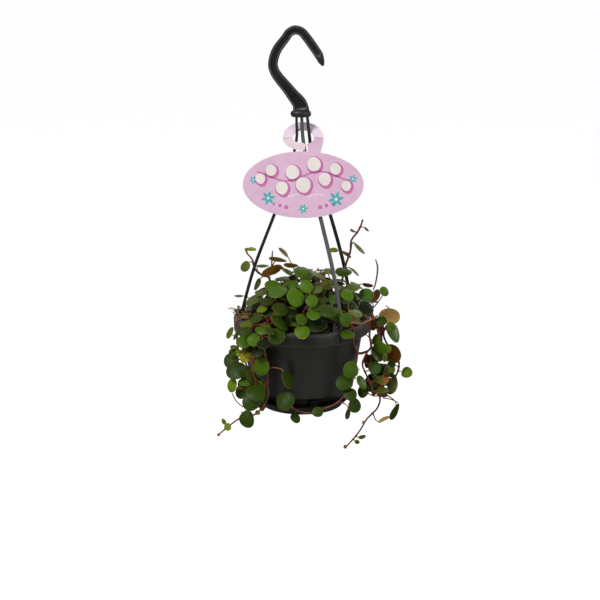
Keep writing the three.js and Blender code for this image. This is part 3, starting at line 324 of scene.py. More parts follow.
def block(name: str, size: Sequence[float]) -> Piece:
    """Starts a block with its middle at the origin.

    Args:
        name: Its name.
        size: Its three sides.

    Returns:
        The block.
    """
    deselect_all()
    bpy.ops.mesh.primitive_cube_add(size=1)
    piece = named(name)
    piece.data.transform(Matrix.Diagonal((*(side * MM for side in size), 1)))
    return piece


def turned(name: str, profile: Outline, steps: int = 128) -> Piece:
    """Turns a profile round the pot's axis: a ring is drawn out from point to point.

    Args:
        name: The piece's name.
        profile: Radius and height of each point. Ends on the axis are given a small radius and capped;
            other profiles end where they start.
        steps: How many corners each ring has.

    Returns:
        The new piece.
    """
    radius, height = profile[0]
    deselect_all()
    bpy.ops.mesh.primitive_circle_add(vertices=steps, radius=radius * MM, location=placed(0, 0, height))
    piece = settle(named(name))
    open_mesh()
    for (radius, height), (next_radius, next_height) in zip(profile, profile[1:]):
        rise = (next_height - height) * MM
        bpy.ops.mesh.extrude_region_move(TRANSFORM_OT_translate={"value": (0, 0, rise)})
        grow = next_radius / radius
        bpy.ops.transform.resize(value=(grow, grow, 1), center_override=placed(0, 0, next_height))
    bpy.ops.mesh.select_all(action="SELECT")
    bpy.ops.mesh.remove_doubles(threshold=1e-6)
    bpy.ops.mesh.select_all(action="DESELECT")
    bpy.ops.mesh.select_non_manifold()
    bpy.ops.mesh.edge_face_add()
    close_mesh()
    return piece


def mesh_piece(name: str, points: np.ndarray, faces: list[Face]) -> Piece:
    """Makes a piece straight from corners in the pot's frame and faces.

    Args:
        name: Its name.
        points: Its corners.
        faces: Its faces, by corner.

    Returns:
        The piece.
    """
    mesh = bpy.data.meshes.new(name)
    mesh.from_pydata((np.asarray(points) + np.array(RIM_CENTRE)) * MM, [], faces)
    mesh.update()
    piece = bpy.data.objects.new(name, mesh)
    bpy.context.collection.objects.link(piece)
    return piece


def skin_faces(rows: int, sides: int) -> list[Face]:
    """Faces of a closed tube made of rows of corners.

    Args:
        rows: How many rings there are.
        sides: How many corners each ring has.

    Returns:
        The faces, pointing outwards for rings that turn left as seen against the tube's direction.
    """
    faces: list[Face] = []
    for i in range(0, (rows - 1) * sides, sides):
        for k in range(sides):
            a, b = i + k, i + (k + 1) % sides
            faces.append((a, b, b + sides, a + sides))
    faces.append(tuple(reversed(range(sides))))
    faces.append(tuple(range((rows - 1) * sides, rows * sides)))
    return faces


def unit(way: np.ndarray) -> np.ndarray:
    """A direction brought to a length of 1."""
    return way / np.linalg.norm(way)


def level(degrees: float) -> np.ndarray:
    """The level direction at an angle round the pot."""
    return np.array((math.cos(math.radians(degrees)), math.sin(math.radians(degrees)), 0.0))


def ahead_at(path: np.ndarray, index: int) -> np.ndarray:
    """The direction of a path at one of its points."""
    return unit(path[min(index + 1, len(path) - 1)] - path[max(index - 1, 0)])


def ring_frames(path: np.ndarray, first_up: Sequence[float]) -> tuple[np.ndarray, np.ndarray]:
    """Two directions square to a path at each of its points, turning as little as they can.

    Args:
        path: The path.
        first_up: A direction near the first one.

    Returns:
        The upward and the sideways direction at each point.
    """
    ups, sides = [], []
    up = np.array(first_up, float)
    for i in range(len(path)):
        ahead = ahead_at(path, i)
        up = unit(up - ahead * (up @ ahead))
        ups.append(up)
        sides.append(np.cross(up, ahead))
    return np.array(ups), np.array(sides)


def tube_points(path: np.ndarray, radii: Sequence[float], sides: int) -> np.ndarray:
    """Corners of a round tube along a path, ring by ring.

    Args:
        path: The tube's middle line.
        radii: Its radius at each point.
        sides: How many corners each ring has.

    Returns:
        The corners.
    """
    ups, across = ring_frames(path, (0.8, 0.6, 0.05))
    rings = []
    for i, point in enumerate(path):
        turns = -2 * math.pi * np.arange(sides) / sides
        ring = point + radii[i] * (np.outer(np.cos(turns), ups[i]) + np.outer(np.sin(turns), across[i]))
        rings.append(ring)
    return np.vstack(rings)


def smooth_route(points: Sequence[Sequence[float]], steps: int) -> np.ndarray:
    """Points along a centripetal Catmull-Rom curve, evenly by its own parameter.

    Args:
        points: The points that the curve passes through.
        steps: How many stretches to divide it into.

    Returns:
        An array of steps + 1 points.
    """
    known = np.array(points, float)
    known = np.vstack([2 * known[0] - known[1], known, 2 * known[-1] - known[-2]])
    spans = len(points) - 1
    out = []
    for i in range(steps + 1):
        at = min(spans * i / steps, spans - 1e-9)
        k = int(at)
        t = at - k
        p0, p1, p2, p3 = known[k : k + 4]
        d0, d1, d2 = (math.sqrt(np.linalg.norm(b - a)) for a, b in ((p0, p1), (p1, p2), (p2, p3)))
        start = ((p1 - p0) / d0 - (p2 - p0) / (d0 + d1) + (p2 - p1) / d1) * d1
        end = ((p2 - p1) / d1 - (p3 - p1) / (d1 + d2) + (p3 - p2) / d2) * d1
        out.append(
            p1 + start * t + (3 * (p2 - p1) - 2 * start - end) * t**2 + (2 * (p1 - p2) + start + end) * t**3
        )
    return np.array(out)


# Finishes


def linear(red: float, green: float, blue: float) -> tuple[float, float, float, float]:
    """A colour given as it shows on a screen, 0 to 255, as the shader wants it."""
    return (*((channel / 255) ** 2.2 for channel in (red, green, blue)), 1.0)


class Wiring:
    """A short way of adding and joining the nodes of one material or group."""

    def __init__(self, tree: bpy.types.NodeTree) -> None:
        """Starts on a node tree."""
        self.tree = tree

    def node(self, kind: str, inputs: dict | None = None, **settings) -> bpy.types.Node:
        """Adds a node.

        Args:
            kind: The node's type, without its ShaderNode prefix.
            inputs: Input name or index to a value or a socket.
            **settings: The node's own settings.

        Returns:
            The new node.
        """
        made = self.tree.nodes.new("ShaderNode" + kind)
        for key, value in settings.items():
            setattr(made, key, value)
        for key, value in (inputs or {}).items():
            self.feed(value, made.inputs[key])
        return made

    def feed(self, source: object, target: Socket) -> None:
        """Joins a socket to an input, or sets the input to a value.

        Args:
            source: The socket or the value.
            target: The input.
        """
        if isinstance(source, Socket):
            self.tree.links.new(source, target)
        else:
            target.default_value = source

    def math(self, operation: str, *values: object, clamp: bool = False) -> Socket:
        """A sum of one to three values."""
        made = self.node("Math", dict(enumerate(values)), operation=operation, use_clamp=clamp)
        return made.outputs[0]

    def spread(self, value: object, low: float, high: float, new_low: float, new_high: float) -> Socket:
        """Maps a value from one range to another, smoothly and clamped."""
        inputs = {0: value, 1: low, 2: high, 3: new_low, 4: new_high}
        return self.node("MapRange", inputs, interpolation_type="SMOOTHSTEP").outputs[0]

    def blend(self, factor: object, one: object, other: object, mode: str = "MIX") -> Socket:
        """A mix of two colours.

        Args:
            factor: How much of the other there is.
            one: The first colour.
            other: The other colour.
            mode: How they are mixed.

        Returns:
            The mix.
        """
        made = self.node("Mix", data_type="RGBA", blend_type=mode)
        for index, value in ((0, factor), (6, one), (7, other)):
            self.feed(value, made.inputs[index])
        return made.outputs[2]

    def stretched(self, place: Socket, *scale: float) -> Socket:
        """A place drawn out or pressed together along its three ways."""
        return self.node("Mapping", {"Vector": place, "Scale": scale}).outputs[0]

    def bump(self, height: Socket, strength: float, distance: float) -> Socket:
        """The facing of a surface that is raised by a height."""
        return self.node("Bump", {"Strength": strength, "Distance": distance, "Height": height}).outputs[0]

    def noise(self, place: Socket, scale: float, detail: float = 3.0, roughness: float = 0.55) -> Socket:
        """A plain noise value at a place."""
        inputs = {"Vector": place, "Scale": scale, "Detail": detail, "Roughness": roughness}
        return self.node("TexNoise", inputs).outputs[0]


def new_group(name: str, inputs: dict[str, str], outputs: dict[str, str]) -> tuple[Wiring, dict, dict]:
    """Starts a shader node group.

    Args:
        name: The group's name.
        inputs: Name of each input to Float, Vector or Color.
        outputs: The same for the outputs.

    Returns:
        The wiring, the group's input sockets and its output sockets, by name.
    """
    tree = bpy.data.node_groups.new(name, "ShaderNodeTree")
    for names, direction in ((inputs, "INPUT"), (outputs, "OUTPUT")):
        for key, kind in names.items():
            tree.interface.new_socket(key, in_out=direction, socket_type="NodeSocket" + kind)
    wiring = Wiring(tree)
    start = tree.nodes.new("NodeGroupInput")
    end = tree.nodes.new("NodeGroupOutput")
    return wiring, {key: start.outputs[key] for key in inputs}, {key: end.inputs[key] for key in outputs}


def new_material(name: str) -> tuple[Finish, Wiring, bpy.types.Node]:
    """Starts a material and returns it with its wiring and its surface shader.

    Args:
        name: Its name.

    Returns:
        The material, its wiring and its surface shader.
    """
    material = bpy.data.materials.new(name)
    material.use_nodes = True
    wiring = Wiring(material.node_tree)
    return material, wiring, material.node_tree.nodes["Principled BSDF"]


def grain_group() -> bpy.types.NodeTree:
    """Fine moulded grain, scuffs and settled dust, for the plastic pieces.

    Returns:
        The node group.
    """
    wiring, given, out = new_group(
        "Moulded grain",
        {"Place": "Vector", "Facing": "Vector", "Dust": "Float", "Scuffs": "Float"},
        {"Tint": "Float", "Roughness": "Float", "Height": "Float"},
    )
    cloud = wiring.noise(given["Place"], 45, 4)
    fine = wiring.noise(given["Place"], 2600, 2)
    streaks = wiring.noise(wiring.stretched(given["Place"], 1, 1, 0.08), 420, 3)
    scuff = wiring.spread(streaks, 0.58, 0.75, 0, 1)
    scuff = wiring.math("MULTIPLY", scuff, given["Scuffs"])
    upward = wiring.node("SeparateXYZ", {"Vector": given["Facing"]}).outputs[2]
    dust = wiring.spread(upward, 0.1, 0.95, 0, 1)
    dust = wiring.math("MULTIPLY", dust, wiring.spread(cloud, 0.35, 0.7, 0.4, 1))
    dust = wiring.math("MULTIPLY", dust, given["Dust"])
    tint = wiring.math("ADD", dust, scuff)
    tint = wiring.math("ADD", tint, wiring.spread(cloud, 0.3, 0.75, 0.0, 0.05), clamp=True)
    wiring.feed(tint, out["Tint"])
    rough = wiring.math("MULTIPLY_ADD", dust, 0.4, wiring.spread(cloud, 0.3, 0.7, -0.04, 0.08))
    wiring.feed(rough, out["Roughness"])
    wiring.feed(wiring.math("MULTIPLY_ADD", streaks, 0.3, fine), out["Height"])
    return wiring.tree


@dataclass(frozen=True)
class Plastic:
    """A dark moulded plastic: its own colour, the paler colour of its dust, wear and painted highlights, its
    gloss and its wear.
    """

    name: str
    colour: Spot
    wear_and_highlight: Spot
    roughness: float
    dust: float
    scuffs: float
    grain: float = 0.05
    specular: float = 0.5
    # With a band edge given, the rim's band gets painted light: a painted highlight line on its lower lip, a
    # painted highlight along its upper edge and painted sheen towards both sides.
    band: float | None = None
    lip_highlight_rise: Pair = (0.5, 1.3)
    lip_highlight_tint: float = 0.26
    crown_highlight_height: Pair = (-4.5, -0.6)
    crown_highlight_tint: float = 0.16
    side_sheen_reach: Pair = (46.0, 61.5)
    side_sheen_tint: float = 0.42

    def paint_band_highlights(self, wiring: Wiring, place: Socket, tint: Socket) -> Socket:
        """Adds painted light on the rim's band: a highlight line along its lower lip, a highlight along its
        upper edge and sheen towards its sides.

        Args:
            wiring: The material's wiring.
            place: The surface's own coordinates.
            tint: The tint so far.

        Returns:
            The tint with the band's painted highlights.
        """
        across, _, height = wiring.node("SeparateXYZ", {"Vector": place}).outputs
        edge = (RIM_CENTRE.z + self.band) * MM
        within = wiring.spread(height, edge - 0.1 * MM, edge + 0.1 * MM, 0, 1)
        # A painted highlight line along the band's lower lip.
        lip = wiring.spread(height, *(edge + rise * MM for rise in self.lip_highlight_rise), self.lip_highlight_tint, 0)
        # A painted highlight along the rim's upper edge.
        rise = ((RIM_CENTRE.z + z) * MM for z in self.crown_highlight_height)
        crown = wiring.spread(height, *rise, 0, self.crown_highlight_tint)
        # Painted sheen on the band, growing towards both sides.
        away = wiring.math("ABSOLUTE", wiring.math("SUBTRACT", across, RIM_CENTRE.x * MM))
        sides = wiring.spread(away, *(reach * MM for reach in self.side_sheen_reach), 0, self.side_sheen_tint)
        paler = wiring.math("ADD", wiring.math("ADD", lip, crown), sides)
        return wiring.math("MULTIPLY_ADD", within, paler, tint)

    def material(self, grain: bpy.types.NodeTree) -> Finish:
        """Makes the plastic's material with the shared grain, and with the band's painted highlights where it
        has one.

        Args:
            grain: The shared grain.

        Returns:
            The material.
        """
        material, wiring, shader = new_material(self.name)
        place = wiring.node("TexCoord").outputs["Object"]
        facing = wiring.node("NewGeometry").outputs["Normal"]
        effect = wiring.node("Group", node_tree=grain)
        values = {"Place": place, "Facing": facing, "Dust": self.dust, "Scuffs": self.scuffs}
        for key, value in values.items():
            wiring.feed(value, effect.inputs[key])
        tint = effect.outputs["Tint"]
        # The rim's band gets its painted highlights and sheen.
        if self.band is not None:
            tint = self.paint_band_highlights(wiring, place, tint)
        colour = wiring.blend(tint, linear(*self.colour), linear(*self.wear_and_highlight))
        wiring.feed(colour, shader.inputs["Base Color"])
        rough = wiring.math("ADD", effect.outputs["Roughness"], self.roughness)
        wiring.feed(rough, shader.inputs["Roughness"])
        wiring.feed(wiring.bump(effect.outputs["Height"], self.grain, 0.0004), shader.inputs["Normal"])
        shader.inputs["Specular IOR Level"].default_value = self.specular
        return material


@dataclass(frozen=True)
class Card:
    """Printed, lightly coated card in one ink colour."""

    name: str
    colour: Spot
    roughness: float = 0.42
    mottle: float = 0.04

    def material(self) -> Finish:
        """Makes the card's material: an even ink over faint paper fibres.

        Returns:
            The material.
        """
        material, wiring, shader = new_material(self.name)
        place = wiring.node("TexCoord").outputs["Object"]
        cloud = wiring.noise(place, 60, 3)
        fibres = wiring.noise(wiring.stretched(place, 1, 1, 3.5), 900, 3)
        shade = wiring.spread(cloud, 0.3, 0.7, 1 - self.mottle, 1 + self.mottle)
        grey = wiring.node("CombineXYZ", {0: shade, 1: shade, 2: shade}).outputs[0]
        colour = wiring.blend(1.0, linear(*self.colour), grey, "MULTIPLY")
        wiring.feed(colour, shader.inputs["Base Color"])
        rough = wiring.spread(fibres, 0.2, 0.8, self.roughness - 0.05, self.roughness + 0.1)
        wiring.feed(rough, shader.inputs["Roughness"])
        wiring.feed(wiring.bump(fibres, 0.06, 0.0003), shader.inputs["Normal"])
        return material


def markings_group() -> bpy.types.NodeTree:
    """Veins that spread from a blade's base and meet at its tip, and its thin edge line.

    The blade's own flat coordinates run from 0 to 1, with the stalk at the far side of the first.

    Returns:
        The node group.
    """
    wiring, given, out = new_group("Leaf markings", {"Blade": "Vector"}, {"Veins": "Float", "Edge": "Float"})
    parts = wiring.node("SeparateXYZ", {"Vector": given["Blade"]})
    x = wiring.math("MULTIPLY_ADD", parts.outputs[0], 2.0, -1.0)
    y = wiring.math("MULTIPLY_ADD", parts.outputs[1], 2.0, -1.0)
    width = wiring.math("SUBTRACT", 1.12, wiring.math("MULTIPLY", x, x))
    share = wiring.math("DIVIDE", y, width)
    spacing, line_width, vein_reach, edge_reach = 0.3, (0.008, 0.05), (0.72, 0.84), (0.86, 0.98)
    turn = wiring.math("MULTIPLY_ADD", share, 1 / spacing, 0.5)
    off = wiring.math("ABSOLUTE", wiring.math("SUBTRACT", wiring.math("FRACT", turn), 0.5))
    away = wiring.math("MULTIPLY", wiring.math("MULTIPLY", off, spacing), width)
    line = wiring.spread(away, *line_width, 1, 0)
    inside = wiring.spread(wiring.math("ABSOLUTE", share), *vein_reach, 1, 0)
    fade = wiring.spread(x, -0.95, 0.2, 0.25, 1)
    wiring.feed(wiring.math("MULTIPLY", wiring.math("MULTIPLY", line, inside), fade), out["Veins"])
    squares = wiring.math("ADD", wiring.math("MULTIPLY", x, x), wiring.math("MULTIPLY", y, y))
    wiring.feed(wiring.spread(wiring.math("SQRT", squares), *edge_reach, 0, 1), out["Edge"])
    return wiring.tree


def leaf_material() -> Finish:
    """Semi-gloss fleshy leaves; each blade's own colour comes from its tone.

    Returns:
        The material.
    """
    material, wiring, shader = new_material("leaf")
    tone = wiring.node("Attribute", attribute_name="tone").outputs["Color"]
    blade = wiring.node("UVMap", uv_map="blade").outputs[0]
    place = wiring.node("TexCoord").outputs["Object"]
    marks = wiring.node("Group", node_tree=markings_group())
    wiring.feed(blade, marks.inputs["Blade"])
    cloud = wiring.noise(place, 240, 3)
    speckle = wiring.noise(place, 1500, 2)
    pale = wiring.blend(1.0, tone, (0.03, 0.042, 0.008, 1), "ADD")
    deep = wiring.blend(1.0, tone, (0.64, 0.62, 0.4, 1), "MULTIPLY")
    colour = wiring.blend(wiring.spread(cloud, 0.35, 0.7, 0.0, 0.55), tone, deep)
    colour = wiring.blend(wiring.math("MULTIPLY", marks.outputs["Veins"], 0.38), colour, pale)
    rim = wiring.blend(1.0, tone, (0.05, 0.036, 0.012, 1), "ADD")
    colour = wiring.blend(wiring.math("MULTIPLY", marks.outputs["Edge"], 0.66), colour, rim)
    wiring.feed(colour, shader.inputs["Base Color"])
    wiring.feed(wiring.spread(cloud, 0.3, 0.7, 0.36, 0.5), shader.inputs["Roughness"])
    height = wiring.math("MULTIPLY_ADD", marks.outputs["Veins"], -0.6, wiring.math("MULTIPLY", speckle, 0.25))
    height = wiring.math("MULTIPLY_ADD", marks.outputs["Edge"], 0.3, height)
    wiring.feed(wiring.bump(height, 0.35, 0.0004), shader.inputs["Normal"])
    shader.inputs["Specular IOR Level"].default_value = 0.18
    return material


def stem_material() -> Finish:
    """Red-brown stems and stalks, streaked and slightly knobbly.

    Returns:
        The material.
    """
    material, wiring, shader = new_material("stem")
    tone = wiring.node("Attribute", attribute_name="tone").outputs["Color"]
    place = wiring.node("TexCoord").outputs["Object"]
    cloud = wiring.noise(place, 380, 3)
    dark = wiring.blend(1.0, tone, (0.45, 0.42, 0.42, 1), "MULTIPLY")
    colour = wiring.blend(wiring.spread(cloud, 0.4, 0.68, 0, 0.8), tone, dark)
    wiring.feed(colour, shader.inputs["Base Color"])
    wiring.feed(wiring.spread(cloud, 0.3, 0.7, 0.42, 0.6), shader.inputs["Roughness"])
    wiring.feed(wiring.bump(wiring.noise(place, 1200, 3), 0.3, 0.0004), shader.inputs["Normal"])
    return material


def soil_material() -> Finish:
    """Dark, crumbly potting soil with paler fibres.

    Returns:
        The material.
    """
    material, wiring, shader = new_material("soil")
    place = wiring.node("TexCoord").outputs["Object"]
    clods = wiring.noise(place, 330, 5, 0.65)
    fibres = wiring.noise(wiring.stretched(place, 1, 0.16, 1), 900, 4)
    colour = wiring.blend(wiring.spread(clods, 0.3, 0.7, 0, 1), linear(26, 19, 14), linear(72, 52, 38))
    colour = wiring.blend(wiring.spread(fibres, 0.66, 0.78, 0, 0.8), colour, linear(122, 94, 66))
    wiring.feed(colour, shader.inputs["Base Color"])
    wiring.feed(wiring.spread(clods, 0.3, 0.7, 0.98, 0.8), shader.inputs["Roughness"])
    height = wiring.math("MULTIPLY_ADD", clods, 1.4, wiring.noise(place, 1800, 3))
    wiring.feed(wiring.bump(height, 0.9, 0.001), shader.inputs["Normal"])
    return material


# Pot and saucer


@dataclass
class Pot:
    """The round hanging pot: body, wide rim with its skirt, three ears and the stepped-in foot."""

    profile: Pairs = (
        (0.5, -80.4), (34.4, -80.4), (35.2, -80.1), (38.3, -71.4), (38.4, -70.8), (37.4, -70.2),
        (37.6, -68.4), (38.2, -67.8), (40.4, -66.9), (46.4, -64.9), (47.1, -64.2), (51.1, -37.6),
        (51.5, -36.9), (55.6, -11.5), (56.0, -2.6), (56.6, -1.8), (60.9, -1.8), (60.7, -11.3),
        (61.0, -11.6), (61.6, -11.6), (62.05, -11.1), (62.4, -1.3), (62.1, -0.4), (61.4, 0.0),
        (55.6, 0.0), (54.8, -0.3), (54.5, -1.0), (53.8, -11.5), (43.4, -62.6), (36.2, -66.0),
        (35.4, -71.0), (33.4, -78.6), (0.5, -78.6),
    )
    arm_angles: tuple[float, ...] = (180.0, -57.0, 33.0)
    ear_radius: float = 5.6
    ear_height: float = 4.2
    ear_middle: float = 58.0
    ear_thickness: float = 2.0
    ear_foot: float = 4.3
    hole_radius: float = 2.7
    slot_size: Spot = (4.0, 1.6, 9.5)
    slot_radius: float = 61.7
    slot_height: float = -6.15
    drain_radius: float = 3.5
    drain_ring: float = 22.0
    drain_angles: tuple[float, ...] = (45.0, 135.0, 225.0, 315.0)

    def ear(self, angle: float) -> Piece:
        """A half-round ear with a round hole, standing on the rim at an angle.

        Args:
            angle: Its place round the rim, in degrees.

        Returns:
            The ear.
        """
        middle = (0, 0, self.ear_height)
        ear = cylinder("ear", self.ear_radius, self.ear_thickness, middle, lying=True, sides=48)
        open_mesh()
        low = placed(0, 0, self.ear_height - 1.2)
        bpy.ops.mesh.bisect(plane_co=low, plane_no=(0, 0, 1), clear_inner=True)
        bpy.ops.mesh.extrude_region_move(TRANSFORM_OT_translate={"value": (0, 0, -self.ear_foot * MM)})
        bpy.ops.transform.resize(value=(1.25, 1, 1), center_override=placed(0, 0, -1.3))
        bpy.ops.mesh.edge_face_add()
        close_mesh()
        carve(ear, [cylinder("ear hole", self.hole_radius, 9, middle, lying=True)])
        soften(ear, 0.3)
        ear.data.transform(Matrix.Translation(-placed(0, 0, 0)))
        outwards = Matrix.Translation((self.ear_middle * MM, 0, 0)) @ Matrix.Rotation(math.pi / 2, 4, "Z")
        ear.data.transform(about_axis(angle) @ outwards)
        return ear

    def slot_tool(self, angle: float) -> Piece:
        """A block that cuts the upright slot in the skirt below an ear."""
        tool = block("slot", self.slot_size)
        outwards = Matrix.Translation((self.slot_radius * MM, 0, 0))
        tool.data.transform(about_axis(angle, self.slot_height) @ outwards)
        return tool

    def drain_tool(self, angle: float) -> Piece:
        """A cylinder that cuts a drain hole in the floor."""
        x, y, _ = level(angle) * self.drain_ring
        return cylinder("drain hole", self.drain_radius, 6, (x, y, -79.5))

    def build(self, finish: Finish) -> None:
        """Makes the pot and hands it over.

        Args:
            finish: The plastic's finish.
        """
        pot = turned("pot_moulding", self.profile, 144)
        carve(pot, [self.drain_tool(angle) for angle in self.drain_angles])
        carve(pot, [self.slot_tool(angle) for angle in self.arm_angles])
        soften(pot, 0)
        pot = merge_pieces("pot_moulding", [pot, *(self.ear(angle) for angle in self.arm_angles)])
        dress(pot, finish)
        hand_over(pot, "pot_plastic", "pot")


@dataclass
class Saucer:
    """The shallow clip-on saucer with four clips."""

    profile: Pairs = (
        (0.5, -82.2), (31.5, -82.2), (32.2, -82.5), (36.4, -82.5), (37.2, -82.2), (37.7, -81.3),
        (44.7, -74.4), (45.2, -73.9), (45.6, -73.5), (45.6, -73.0), (45.3, -72.8), (44.3, -72.8),
        (44.0, -73.1), (36.6, -80.9), (0.5, -80.9),
    )
    clip_angles: tuple[float, ...] = (15.0, 105.0, 195.0, 285.0)
    clip_parts: tuple[Spots, ...] = (
        ((1.6, 7, 11.4), (41.2, 0, -73.4)), ((2.6, 7, 1.2), (39.7, 0, -69.1)),
    )

    def clip(self, size: Spot, middle: Spot, angle: float) -> Piece:
        """One part of a clip, a block with soft edges, turned round the pot's axis.

        Args:
            size: The block's sides.
            middle: Its middle before the turn.
            angle: The turn in degrees.

        Returns:
            The block.
        """
        part = soften(block("clip", size), 0.3)
        part.data.transform(about_axis(angle) @ Matrix.Translation(Vector(middle) * MM))
        return part

    def build(self, finish: Finish) -> None:
        """Makes the saucer and hands it over.

        Args:
            finish: The plastic's finish.
        """
        pieces = [soften(turned("saucer_dish", self.profile, 128), 0)]
        pieces += [self.clip(*part, angle) for angle in self.clip_angles for part in self.clip_parts]
        saucer = merge_pieces("saucer_moulding", pieces)
        dress(saucer, finish)
        hand_over(saucer, "saucer_plastic", "saucer")


@dataclass
class Soil:
    """The soil's uneven top, its crumbs and its sides down inside the pot."""

    level: float = -9.0
    radius: float = 52.6
    crumbs: int = 520
    seed: int = 11

    def height(self, x: float, y: float) -> float:
        """The soil's level at a place."""
        swell = 1.1 * math.sin(0.13 * x + 0.7) * math.cos(0.11 * y)
        return self.level + swell + 0.6 * math.sin(0.31 * x - 0.23 * y)

    def plug(self) -> Piece:
        """The soil's body, with its top drawn in rings and lifted to its level.

        Returns:
            The body.
        """
        rings = [(radius, self.level) for radius in np.linspace(self.radius, 0.6, 26)]
        sides = [(0.5, -78.2), (33.0, -78.2), (34.8, -71.0), (35.6, -65.6), (42.8, -61.4)]
        plug = turned("soil_plug", [*sides, (self.radius, -11.5), *rings], 96)
        chance = random.Random(self.seed)
        for vertex in plug.data.vertices:
            local = vertex.co / MM - RIM_CENTRE
            if local.z > self.level - 0.1:
                lift = self.height(local.x, local.y) - self.level
                vertex.co.z += (lift + chance.uniform(-0.35, 0.35)) * MM
        return soften(plug, 0, angle=80)

    def crumb_pile(self) -> list[Piece]:
        """Small crumbs and a few pale grains, each a squashed ball with a few dozen faces.

        Returns:
            The crumbs.
        """
        chance = random.Random(self.seed + 1)
        deselect_all()
        bpy.ops.mesh.primitive_ico_sphere_add(subdivisions=1, radius=MM)
        seed = named("crumb")
        pieces = []
        for _ in range(self.crumbs):
            angle = chance.uniform(0, 2 * math.pi)
            out = (self.radius - 2) * math.sqrt(chance.random())
            x, y = out * math.cos(angle), out * math.sin(angle)
            size = chance.choice((0.5, 0.7, 0.9, 1.2, 1.7))
            crumb = seed.copy()
            crumb.data = seed.data.copy()
            bpy.context.collection.objects.link(crumb)
            wide, high = chance.uniform(0.6, 1.0), chance.uniform(0.5, 0.9)
            squash = Matrix.Diagonal((size, size * wide, size * high, 1))
            turn = Matrix.Rotation(chance.uniform(0, 6), 4, (chance.random(), chance.random(), 1.0))
            crumb.data.transform(Matrix.Translation(placed(x, y, self.height(x, y) + 0.2)) @ turn @ squash)
            pieces.append(crumb)
        bpy.data.objects.remove(seed)
        return pieces

    def build(self, finish: Finish) -> None:
        """Makes the soil and hands it over.

        Args:
            finish: The soil's finish.
        """
        soil = merge_pieces("soil_with_crumbs", [self.plug(), *self.crumb_pile()])
        soil.data.materials.clear()
        dress(soil, finish)
        hand_over(soil, "soil", "soil")


# Hanger


